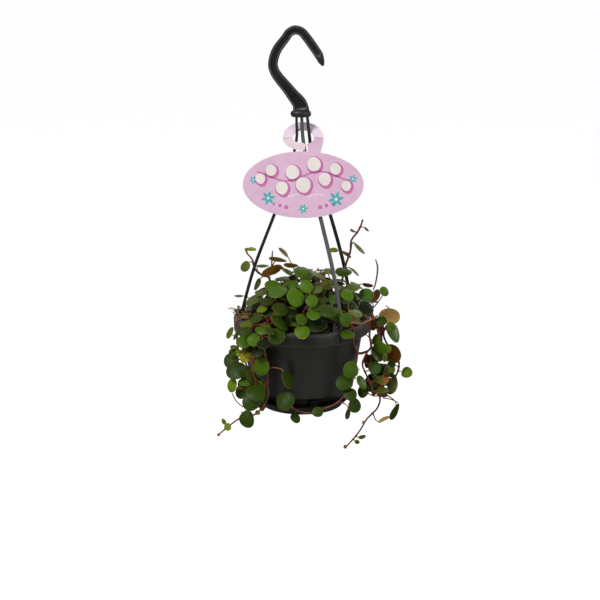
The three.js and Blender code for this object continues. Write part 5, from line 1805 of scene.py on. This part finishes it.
@dataclass
class BladePattern:
    """The one blade that every leaf is copied from: flat, round, 1 across its radius, with a soft edge."""

    sides: int = 22
    points: np.ndarray = field(init=False)
    faces: list[Face] = field(init=False)

    def __post_init__(self) -> None:
        """Draws the blade: a disc is inset, thickened and its rim rounded."""
        deselect_all()
        bpy.ops.mesh.primitive_circle_add(vertices=self.sides, radius=1, fill_type="NGON")
        blade = named("blade pattern")
        open_mesh()
        for step in (0.1, 0.26, 0.3):
            bpy.ops.mesh.inset(thickness=step)
        bpy.ops.mesh.poke()
        bpy.ops.object.mode_set(mode="OBJECT")
        shell = blade.modifiers.new("Thickness", "SOLIDIFY")
        shell.thickness = 0.1
        shell.offset = 0
        bevel = blade.modifiers.new("Rim", "BEVEL")
        bevel.width = 0.035
        bevel.segments = 1
        bevel.limit_method = "ANGLE"
        bevel.angle_limit = math.radians(60)
        apply_modifiers(blade)
        self.points = np.array([vertex.co for vertex in blade.data.vertices])
        self.faces = [tuple(face.vertices) for face in blade.data.polygons]
        bpy.data.objects.remove(blade)


@dataclass
class Growth:
    """The parts of one stem as they are gathered: corners, faces, colours and blade coordinates."""

    points: list[np.ndarray] = field(default_factory=list)
    faces: list[Face] = field(default_factory=list)
    tones: list[np.ndarray] = field(default_factory=list)
    blade_places: list[np.ndarray] = field(default_factory=list)
    kinds: list[int] = field(default_factory=list)
    count: int = 0

    def add(
        self, points: np.ndarray, faces: Iterable[Face], tones: np.ndarray, places: np.ndarray, kind: int
    ) -> None:
        """Adds one part.

        Args:
            points: Its corners in the pot's frame.
            faces: Its faces, by its own corners.
            tones: A colour for each corner.
            places: Blade coordinates for each corner.
            kind: 0 for stem and stalk, 1 for a blade.
        """
        for face in faces:
            self.faces.append(tuple(k + self.count for k in face))
            self.kinds.append(kind)
        self.points.append(points)
        self.tones.append(tones)
        self.blade_places.append(places)
        self.count += len(points)

    def tube(self, path: np.ndarray, radii: Sequence[float], start: Tone, end: Tone, sides: int = 8) -> None:
        """Adds a round stem or stalk whose colour runs from one tone to another.

        Args:
            path: Its middle line.
            radii: Its radius at each point.
            start: The tone at its start.
            end: The tone at its end.
            sides: How many corners each ring has.
        """
        points = tube_points(path, radii, sides)
        share = np.repeat(np.linspace(0, 1, len(path)), sides)[:, None]
        one, other = np.array(linear(*start.value)), np.array(linear(*end.value))
        tones = one * (1 - share) + other * share
        self.add(points, skin_faces(len(path), sides), tones, np.full((len(points), 2), 0.5), 0)

    def piece(self, name: str, finishes: Sequence[Finish]) -> Piece:
        """Makes the gathered parts one piece with its colours and blade coordinates.

        Args:
            name: The piece's name.
            finishes: The stem's and the blades' finish.

        Returns:
            The piece.
        """
        piece = mesh_piece(name, np.vstack(self.points), self.faces)
        mesh = piece.data
        tone = mesh.color_attributes.new("tone", "FLOAT_COLOR", "POINT")
        tone.data.foreach_set("color", np.vstack(self.tones).astype(np.float32).ravel())
        corners = np.zeros(len(mesh.loops), int)
        mesh.loops.foreach_get("vertex_index", corners)
        layer = mesh.uv_layers.new(name="blade")
        layer.data.foreach_set("uv", np.vstack(self.blade_places)[corners].astype(np.float32).ravel())
        dress(piece, *finishes)
        mesh.polygons.foreach_set("material_index", self.kinds)
        mesh.polygons.foreach_set("use_smooth", [True] * len(mesh.polygons))
        mesh.update()
        return piece


@dataclass
class Plant:
    """All leafy stems: fine stems and stalks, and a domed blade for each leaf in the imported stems."""

    routes: list[StemRoute]
    pattern: BladePattern
    seed: int = 3
    thickness: float = 0.66
    dome: float = 0.16
    root_radius: float = 1.2
    tip_radius: float = 0.7
    stalk_radius: float = 0.56
    # How much brighter undersides are painted, as if lit through from behind.
    underside_backlight: float = 1.7
    tip_point: float = 0.09
    lengthening: float = 0.02
    unevenness: Pair = (0.035, 0.024)
    notch: Pair = (0.1, 0.22)
    wave: float = 0.05
    droop: float = 0.03
    thin_rim: float = 0.35
    tone_gap: float = 4.5
    tone_depth: float = -25.0
    tone_spread: Pair = (0.88, 1.12)
    crown_shade: Spot = (2.2, 0.86, 0.3)
    torn_leaf: Pair = (302.0, 331.0)
    torn_edge: Pair = (0.85, 0.66)
    canopy_centre: Spot = StemRoutes.canopy_centre
    canopy_half: Spot = StemRoutes.canopy_half
    arms: tuple[np.ndarray, ...] = ()
    inner_count: int = 150
    inner_tries: int = 6000
    inner_share: Pair = (0.4, 0.86)
    inner_radius: Pair = (5.0, 8.0)
    inner_lowest: float = 5.0
    inner_reach: float = 22.0
    inner_gap: float = 0.62
    arm_gap: float = 2.5
    tip_leaf_radius: Pair = (2.6, 4.2)
    filler_count: int = 46
    filler_tries: int = 4500
    filler_radius: Pair = (3.4, 6.6)
    filler_gap: float = 0.55
    filler_nearest: float = 62.0
    filler_views: tuple[tuple[float, float, float, float], ...] = ((370, 346, 393, 393), (233, 348, 262, 406))

    def top_tone(self, blade: Blade, chance: random.Random) -> tuple[Tone, Tone]:
        """The tones of a blade's upper side and underside: as the photograph shows it, or by chance.

        Args:
            blade: The leaf.
            chance: The source of random draws.

        Returns:
            The two tones.
        """
        u, v = PHOTO.pixel(blade.centre)
        best, gap = None, self.tone_gap
        for tone, spots in SEEN_TONES.items():
            for spot in spots:
                if math.dist((u, v), spot) < gap and blade.centre @ PHOTO.towards > self.tone_depth:
                    best, gap = tone, math.dist((u, v), spot)
        top, under = chance.choice(UNSEEN_TONES), chance.choice(UNDERSIDES)
        if best and blade.normal @ PHOTO.towards < 0:
            return top, best
        return best or top, under

    def shade(self, blade: Blade) -> float:
        """How much darker a leaf's colour is for standing deep in the crown."""
        steepness, outside, darkest = self.crown_shade
        depth = np.linalg.norm((blade.centre - self.canopy_centre) / self.canopy_half)
        return float(np.clip(1 - steepness * (outside - depth), darkest, 1.0))

    def add_blade(self, growth: Growth, blade: Blade, chance: random.Random) -> None:
        """Adds one blade: the pattern is scaled, domed, given a slight wave of its own and laid in place.

        Args:
            growth: The stem's gathered parts.
            blade: The leaf that the blade is for.
            chance: The source of random draws.
        """
        flat = self.pattern.points[:, :2]
        height = self.pattern.points[:, 2] / 0.05
        angle = np.arctan2(flat[:, 1], flat[:, 0])
        out = np.linalg.norm(flat, axis=1)
        pointed = 1 + self.tip_point * np.maximum(0, -np.cos(angle)) ** 4 - self.lengthening * np.cos(angle)
        phase, other = chance.uniform(0, 6.3), chance.uniform(0, 6.3)
        oval, lobed = self.unevenness
        uneven = 1 + oval * np.sin(2 * angle + phase) + lobed * np.sin(3 * angle + other)
        deep, wide = self.notch
        notched = 1 - deep * np.exp(-((angle / wide) ** 2)) * out
        reach = out * pointed * uneven * notched * blade.radius
        side = np.cross(blade.normal, blade.to_base)
        rise = self.dome * (1 - out**2) + self.wave * out**2 * np.sin(2 * angle + other) - self.droop * out**4
        lift = rise * blade.radius + height * self.thickness / 2 * (1 - self.thin_rim * out**3)
        points = (
            blade.centre
            + np.outer(reach * np.cos(angle), blade.to_base)
            + np.outer(reach * np.sin(angle), side)
            + np.outer(lift, blade.normal)
        )
        top, under = (np.array(linear(*tone.value)) for tone in self.top_tone(blade, chance))
        upper = height[:, None] > 0
        colours = np.where(upper, top, under)
        shade = chance.uniform(*self.tone_spread) * self.shade(blade)
        # Undersides are painted brighter, as if lit through from behind.
        colours[:, :3] *= shade * np.where(upper, 1.0, self.underside_backlight)
        if math.dist(PHOTO.pixel(blade.centre), self.torn_leaf) < self.tone_gap:
            rim, low = self.torn_edge
            torn = (out > rim) & (points[:, 2] < blade.centre[2] - low * blade.radius)
            colours[torn] = linear(*Tone.TAN.value)
        growth.add(points, self.pattern.faces, colours, flat / 2 + 0.5, 1)

    def add_stalk(self, growth: Growth, blade: Blade, stem: np.ndarray, chance: random.Random) -> None:
        """Adds the stalk from a blade's base to the nearest place on its stem.

        Args:
            growth: The stem's gathered parts.
            blade: The leaf that the stalk is for.
            stem: The stem's middle line.
            chance: The source of random draws.
        """
        start = blade.centre + blade.to_base * 0.86 * blade.radius
        base = blade.centre + blade.to_base * 0.97 * blade.radius
        end = stem[np.linalg.norm(stem - blade.stalk_end, axis=1).argmin()]
        bend = stalk_bend(base, blade.to_base, blade.normal, blade.reach)
        shares = np.linspace(0, 1, 9)[:, None]
        path = (1 - shares) ** 2 * base + 2 * shares * (1 - shares) * bend + shares**2 * end
        path = np.vstack([start, path])
        size = self.stalk_radius * (0.8 + 0.035 * blade.radius)
        radii = size * np.concatenate([[0.7, 0.85], np.linspace(0.85, 1.15, len(path) - 2)])
        young = chance.choice((Tone.STALK_TAN, Tone.STEM_BROWN, Tone.STEM_RED, Tone.STEM_RED))
        growth.tube(path, radii, young, Tone.STEM_RED, 6)

    def inner_leaf(self, chance: random.Random, taken: list[Blade], stems: list[np.ndarray]) -> Blade | None:
        """Tries one place deep in the crown for a small leaf.

        Args:
            chance: The source of random draws.
            taken: The leaves that are there already.
            stems: The middle line of each stem.

        Returns:
            The leaf, or nothing where the place isn't free.
        """
        turn, rise = chance.uniform(0, 2 * math.pi), chance.uniform(0.05, 0.95)
        flat = math.sqrt(1 - rise**2)
        out = np.array((flat * math.cos(turn), flat * math.sin(turn), rise))
        centre = self.canopy_centre + out * self.canopy_half * chance.uniform(*self.inner_share)
        radius = chance.uniform(*self.inner_radius)
        jitter = np.array([chance.gauss(0, 0.35) for _ in range(3)])
        facing = unit(out + 0.4 * UP + jitter)
        if centre[2] < self.inner_lowest:
            return None
        if any(np.linalg.norm(path - centre, axis=1).min() < radius + self.arm_gap for path in self.arms):
            return None
        lines = np.vstack(stems)
        away = lines - centre
        cost = np.linalg.norm(away, axis=1) + 0.8 * np.maximum(0, away @ facing)
        blade = Blade.joined(centre, facing, radius, lines[int(cost.argmin())], 0.5)
        fits = blade and blade.reach <= self.inner_reach and blade.is_clear(taken, self.inner_gap)
        return blade if fits else None

    def filler_leaf(self, chance: random.Random, taken: list[Blade], stem: np.ndarray) -> Blade | None:
        """Tries one place beside a trailing stem, behind the leaves that show, for a further leaf.

        Args:
            chance: The source of random draws.
            taken: The leaves that are there already.
            stem: The stem's middle line.

        Returns:
            The leaf, or nothing where the place isn't free.
        """
        end = stem[chance.randrange(len(stem) // 3, len(stem) - 4)]
        radius = chance.uniform(*self.filler_radius)
        side = chance.choice((-1, 1)) * chance.uniform(2, 9)
        centre = end + np.array((side, chance.uniform(2, 8), chance.uniform(-5, 3)))
        facing = unit(PHOTO.towards + np.array([chance.gauss(0, 0.55) for _ in range(3)]))
        u, v = PHOTO.pixel(centre)
        if not any(u0 < u < u1 and v0 < v < v1 for u0, v0, u1, v1 in self.filler_views):
            return None
        if math.hypot(centre[0], centre[1]) < self.filler_nearest + radius + 0.2 * centre[2]:
            return None
        blade = Blade.joined(centre, facing, radius, end, 0.8)
        return blade if blade and blade.is_clear(taken, self.filler_gap) else None

    def filler_leaves(self, leaves: list[list[Blade]], stems: list[np.ndarray]) -> None:
        """Adds leaves behind those that show along the trailing stems.

        Args:
            leaves: The leaves of each stem, added to here.
            stems: The middle line of each stem.
        """
        chance = random.Random(self.seed + 200)
        taken = [blade for blades in leaves for blade in blades]
        names = [route.name for route in self.routes]
        trails = [k for k, name in enumerate(names) if "trail" in name and "back" not in name]
        added = 0
        for _ in range(self.filler_tries):
            owner = chance.choice(trails)
            blade = self.filler_leaf(chance, taken, stems[owner])
            if blade and added < self.filler_count:
                leaves[owner].append(blade)
                taken.append(blade)
                added += 1
        log.info("filler leaves: %d", added)

    def tip_leaves(self, stem: np.ndarray, chance: random.Random) -> list[Blade]:
        """Two young leaves at a stem's tip, one to each side.

        Args:
            stem: The stem's middle line.
            chance: The source of random draws.

        Returns:
            The two leaves.
        """
        ahead = unit(stem[-1] - stem[-4])
        across = unit(np.cross(ahead, UP + 0.3 * PHOTO.towards))
        pair = []
        for side in (-1, 1):
            radius = chance.uniform(*self.tip_leaf_radius)
            away = unit(side * across + 0.6 * ahead)
            facing = unit(np.cross(away, np.cross(UP + 0.5 * ahead, away)))
            pair.append(Blade(stem[-1] + away * (radius + 1.5), facing, radius, -away, stem[-1], 1.5))
        return pair

    def inner_leaves(self, leaves: list[list[Blade]], stems: list[np.ndarray]) -> None:
        """Adds small leaves deep in the crown to the stems that they are nearest to.

        Args:
            leaves: The leaves of each stem, added to here.
            stems: The middle line of each stem.
        """
        chance = random.Random(self.seed + 100)
        taken = [blade for blades in leaves for blade in blades]
        mounds = [path for path, route in zip(stems, self.routes) if "mound" in route.name]
        added = 0
        for _ in range(self.inner_tries):
            blade = self.inner_leaf(chance, taken, mounds)
            if blade and added < self.inner_count:
                gaps = [np.linalg.norm(path - blade.stalk_end, axis=1).min() for path in mounds]
                owner = gaps.index(min(gaps))
                leaves[owner].append(blade)
                taken.append(blade)
                added += 1
        log.info("inner leaves: %d", added)

    def build(self, finishes: Sequence[Finish]) -> None:
        """Makes each packed stem again and hands it over.

        Args:
            finishes: The stems' and the blades' finish.
        """
        self.routes = [route for route in self.routes if route.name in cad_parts]
        stems = [smooth_route(route.points, 14 * (len(route.points) - 1)) for route in self.routes]
        leaves = [PackedStem(route.name).blades() for route in self.routes]
        log.info("leaves found in the packed stems: %d", sum(map(len, leaves)))
        self.inner_leaves(leaves, stems)
        self.filler_leaves(leaves, stems)
        for index, (route, path, blades) in enumerate(zip(self.routes, stems, leaves)):
            chance = random.Random(self.seed + index)
            if "mound" in route.name or "back" in route.name:
                blades = blades + self.tip_leaves(path, chance)
            radii = np.linspace(self.root_radius, self.tip_radius, len(path))
            growth = Growth()
            swell = np.zeros(len(path))
            for blade in blades:
                knot = np.linalg.norm(path - blade.stalk_end, axis=1)
                swell = np.maximum(swell, np.exp(-((knot / 1.6) ** 2)))
            # Stems run from a darker tone at the root to a paler one at the tip: partly the older stem's own
            # colour, partly painted shade inside the crown.
            root_tone, young = (Tone.STALK_TAN,) * 2 if "arch" in route.name else (Tone.STEM_DARK, Tone.STEM_BROWN)
            growth.tube(path, radii * (1 + 0.28 * swell), root_tone, young, 8)
            for blade in blades:
                self.add_blade(growth, blade, chance)
                self.add_stalk(growth, blade, path, chance)
            piece = growth.piece(route.name.replace("stem", "leafy_stem"), finishes)
            log.info("%s: %d leaves", piece.name, len(blades))
            hand_over(piece, "leaves_and_stems", route.name)


@dataclass(frozen=True)
class Trimming:
    """A thin thing that the photograph shows: its tones, its half-widths and the places it passes."""

    start: Tone
    end: Tone
    widths: tuple[float, ...]
    places: Spots


@dataclass
class Trimmings:
    """Bare stalks, buds, flower spikes and dry fibres, by pixel and depth as the photograph shows them."""

    stalks: tuple[Trimming, ...] = (
        Trimming(Tone.STEM_RED, Tone.STEM_RED, (0.6, 0.6), ((275, 293, -44), (275.2, 301, -46))),
        Trimming(Tone.STALK_DARK, Tone.STALK_DARK, (0.5, 0.4),
                 ((364, 333, -22), (370, 338, -21), (375, 344.5, -18))),
        Trimming(Tone.STEM_RED, Tone.STEM_BROWN, (0.6, 0.9, 1.3, 1.0),
                 ((375, 345, -18), (369, 350, -20), (362, 353, -22), (356.5, 353, -26))),
        Trimming(Tone.STEM_RED, Tone.STALK_DARK, (0.6, 0.4), ((381, 345.5, -14), (388, 345, -10))),
        Trimming(Tone.STALK_TAN, Tone.STALK_TAN, (0.6, 0.5),
                 ((366, 392, -20), (372, 395.5, -17), (377, 396.5, -14))),
        Trimming(Tone.STEM_RED, Tone.STALK_DARK, (0.5, 0.4),
                 ((383, 398, -10), (391, 399.5, -9), (398.5, 403, -8))),
        Trimming(Tone.STEM_RED, Tone.STEM_BROWN, (1.2, 1.5),
                 ((377, 325, -14), (379, 338, -14), (378, 350, -14))),
        Trimming(Tone.STEM_RED, Tone.STEM_RED, (1.3, 1.6),
                 ((381.5, 324, -5), (381, 337, -6), (381.5, 352, -7))),
        Trimming(Tone.STEM_RED, Tone.STEM_BROWN, (0.8, 0.6),
                 ((380, 338, -8), (384, 331, -6), (389.5, 326, -4))),
        Trimming(Tone.STEM_BROWN, Tone.STEM_RED, (0.6, 0.5),
                 ((242, 363, -36), (246, 366.5, -42), (251, 371, -49))),
        Trimming(Tone.STEM_BROWN, Tone.STEM_BROWN, (0.5, 0.5),
                 ((232, 393, -41), (236, 400.5, -43), (243, 407, -45))),
    )
    buds: tuple[Trimming, ...] = (
        Trimming(Tone.BUD, Tone.BUD, (0.3, 1.9, 2.0, 0.4),
                 ((344, 448.5, -12), (344.8, 447.6, -12), (345.8, 446.4, -12), (347, 445.4, -12))),
        Trimming(Tone.BUD, Tone.BUD, (0.3, 1.5, 1.6, 0.4),
                 ((217.2, 435.6, -42), (218, 435, -42), (219, 434.3, -42), (220, 433.6, -42))),
        Trimming(Tone.BUD, Tone.STALK_TAN, (0.3, 1.3, 1.4, 0.4),
                 ((364.6, 420.8, -12), (364, 421.8, -12), (363.2, 423, -12), (362.6, 424, -12))),
        Trimming(Tone.MAROON, Tone.BUD, (0.3, 1.0, 0.9, 0.3),
                 ((362, 222, 4), (362.3, 221, 4), (362.6, 220, 4), (362.9, 219, 4))),
        Trimming(Tone.MAROON, Tone.BUD, (0.3, 1.1, 1.0, 0.3),
                 ((319, 271, -10), (318.4, 269.8, -10), (317.8, 268.7, -10), (317.2, 267.6, -10))),
        Trimming(Tone.YELLOW, Tone.OLIVE, (0.4, 1.3, 1.2, 0.3),
                 ((247, 251, 8), (246.4, 250, 8), (245.6, 249, 8), (244.6, 248.4, 8))),
        Trimming(Tone.YELLOW, Tone.YELLOW, (0.4, 2.3, 2.0, 0.4),
                 ((255, 412.4, -46), (256.6, 412.2, -46), (258.6, 412.8, -46), (260.4, 413.4, -46))),
    )
    spikes: tuple[Trimming, ...] = (
        Trimming(Tone.STEM_BROWN, Tone.SPIKE, (0.55, 0.7, 0.75, 0.8, 0.5),
                 ((373, 290, -12), (375, 285, -11), (377, 275, -10), (377.5, 266, -9), (375.5, 259, -8))),
        Trimming(Tone.STEM_BROWN, Tone.SPIKE, (0.6, 0.8, 0.5),
                 ((271.5, 266, -4), (272, 258, -3), (272.5, 250.5, -2))),
        Trimming(Tone.SPIKE, Tone.SPIKE, (0.5, 0.5), ((386, 305.5, -13), (389.5, 308.5, -12))),
        Trimming(Tone.STEM_BROWN, Tone.STALK_TAN, (0.4, 0.4, 0.3),
                 ((323, 284, -40), (320, 276, -34), (317.5, 268.5, -12))),
    )
    fibres: int = 44
    fibre_turn: Pair = (164.0, 197.0)
    seed: int = 31

    def add(self, growth: Growth, trimming: Trimming) -> None:
        """Adds one thin thing as a tube that swells and thins along its way.

        Args:
            growth: The parts gathered so far.
            trimming: The thin thing.
        """
        places = [PHOTO.seen(*place) for place in trimming.places]
        steps = 6 * (len(places) - 1)
        path = smooth_route(places, steps)
        marks = np.linspace(0, 1, len(trimming.widths))
        widths = np.interp(np.linspace(0, 1, steps + 1), marks, trimming.widths)
        growth.tube(path, widths, trimming.start, trimming.end, 8)

    def add_fibre(self, growth: Growth, chance: random.Random) -> None:
        """Adds one short dry fibre that lies over the left rim.

        Args:
            growth: The parts gathered so far.
            chance: The source of random draws.
        """
        out = level(chance.uniform(*self.fibre_turn))
        place = out * chance.uniform(50, 61) + UP * chance.uniform(0.8, 2.2)
        ways = (chance.uniform(-1, 1), chance.uniform(-0.6, 0.6), chance.uniform(-0.1, 0.5))
        heading = unit(np.array(ways)) * chance.uniform(4, 10)
        bow = UP * chance.uniform(0.5, 2.5)
        path = smooth_route([place, place + heading / 2 + bow, place + heading], 8)
        tone = chance.choice((Tone.DRY, Tone.STALK_TAN, Tone.BROWN, Tone.STALK_DARK))
        growth.tube(path, np.linspace(0.42, 0.2, 9), tone, tone, 6)

    def build(self, finishes: Sequence[Finish]) -> None:
        """Makes the small things in three pieces and hands them over.

        Args:
            finishes: The stems' and the blades' finish.
        """
        chance = random.Random(self.seed)
        things = {"bare_stalks": self.stalks, "buds": self.buds, "flower_spikes": self.spikes}
        for name, trimmings in things.items():
            growth = Growth()
            for trimming in trimmings:
                self.add(growth, trimming)
            hand_over(growth.piece(name, finishes), "leaves_and_stems")
        growth = Growth()
        for _ in range(self.fibres):
            self.add_fibre(growth, chance)
        hand_over(growth.piece("dry_fibres", finishes), "leaves_and_stems")


# Studio


@dataclass
class Studio:
    """A plain pale floor and soft light."""

    floor_drop: float = 0.62
    floor_size: float = 70.0
    floor_grey: float = 0.5
    floor_glow: float = 0.85
    air: float = 0.26
    lamps: tuple[tuple[str, Spot, float, float], ...] = (
        ("key", (-1.1, -1.3, 1.5), 34, 0.9), ("fill", (1.3, -1.4, 0.1), 7, 1.1),
        ("back", (0.4, 1.6, 0.9), 8, 1.1), ("right", (1.5, 1.1, 0.1), 10, 0.9),
    )

    def build(self) -> None:
        """Adds the floor, the lamps and the even surrounding light."""
        deselect_all()
        bpy.ops.mesh.primitive_plane_add(size=self.floor_size, location=(0, 0, -0.38 - self.floor_drop))
        floor = settle(named("studio_floor"))
        material, wiring, shader = new_material("studio floor")
        shader.inputs["Base Color"].default_value = (*(self.floor_grey,) * 3, 1)
        shader.inputs["Roughness"].default_value = 1.0
        shader.inputs["Emission Color"].default_value = (1, 1, 1, 1)
        seen = wiring.node("LightPath").outputs["Is Camera Ray"]
        wiring.feed(wiring.math("MULTIPLY", seen, self.floor_glow), shader.inputs["Emission Strength"])
        dress(floor, material)
        for lamp in self.lamps:
            self.lamp(*lamp)
        world = bpy.data.worlds.new("studio air")
        world.use_nodes = True
        background = world.node_tree.nodes["Background"]
        background.inputs["Color"].default_value = (1, 1, 1, 1)
        background.inputs["Strength"].default_value = self.air
        bpy.context.scene.world = world
        bpy.context.scene.view_settings.view_transform = "Standard"

    @staticmethod
    def lamp(name: str, place: Sequence[float], power: float, size: float) -> None:
        """A square soft lamp aimed at the plant.

        Args:
            name: Its name.
            place: Where it stands.
            power: Its power in watts.
            size: Its side in metres.
        """
        target = placed(0, 0, 0)
        aim = (target - Vector(place)).to_track_quat("-Z", "Y").to_euler()
        deselect_all()
        bpy.ops.object.light_add(type="AREA", location=place, rotation=aim)
        light = named(name)
        light.data.energy = power
        light.data.size = size


def main() -> None:
    """Builds the camera, the pieces and the studio, in order."""
    PHOTO.set_camera()
    grain = grain_group()
    pot_plastic = Plastic("pot plastic", (28, 27, 22), (122, 118, 112), 0.44, 0.36, 0.05, band=-11.9)
    # The saucer's near-black colour is partly its own and partly painted shade, which keeps its clips dark
    # under the pot's rim.
    saucer_plastic = Plastic("saucer plastic", (13, 12, 10), (50, 48, 44), 0.7, 0.05, 0.02, specular=0.25)
    hanger_plastic = Plastic("hanger plastic", (34, 37, 39), (120, 124, 130), 0.36, 0.07, 0.05)
    # Paler and darker copies of the hanger's plastic: painted highlights on the recess's lips and painted
    # sheen on the front arm, and painted shade down in the recess.
    highlight_plastic = Plastic("worn plastic", (84, 86, 87), (140, 142, 144), 0.42, 0.16, 0.12)
    shaded_plastic = Plastic("shaded plastic", (15, 18, 20), (90, 94, 98), 0.42, 0.05, 0.03)
    Pot().build(pot_plastic.material(grain))
    Saucer().build(saucer_plastic.material(grain))
    Soil().build(soil_material())
    hanger = Hanger()
    hanger_finishes = (hanger_plastic, highlight_plastic, shaded_plastic)
    hanger.build(*(plastic.material(grain) for plastic in hanger_finishes))
    inks = {
        "pink": Card("pink card", (238, 196, 224)).material(),
        "core": Card("card core", (236, 226, 230), 0.7).material(),
        "rose": Card("rose ink", (216, 116, 182)).material(),
        "cream": Card("cream ink", (252, 244, 236)).material(),
        "teal": Card("teal ink", (80, 188, 196)).material(),
        "lilac": Card("lilac card", (255, 234, 252)).material(),
        "blush": Card("blush card", (255, 230, 236)).material(),
    }
    Tag().build(inks)
    arms = tuple(hanger.arm_path(angle, route) for angle, route in hanger.arms)
    plant_finishes = [stem_material(), leaf_material()]
    Plant(StemRoutes().all(), BladePattern(), arms=arms).build(plant_finishes)
    Trimmings().build(plant_finishes)
    Studio().build()


if __name__ == "__main__":
    logging.basicConfig(level=logging.INFO)
    main()
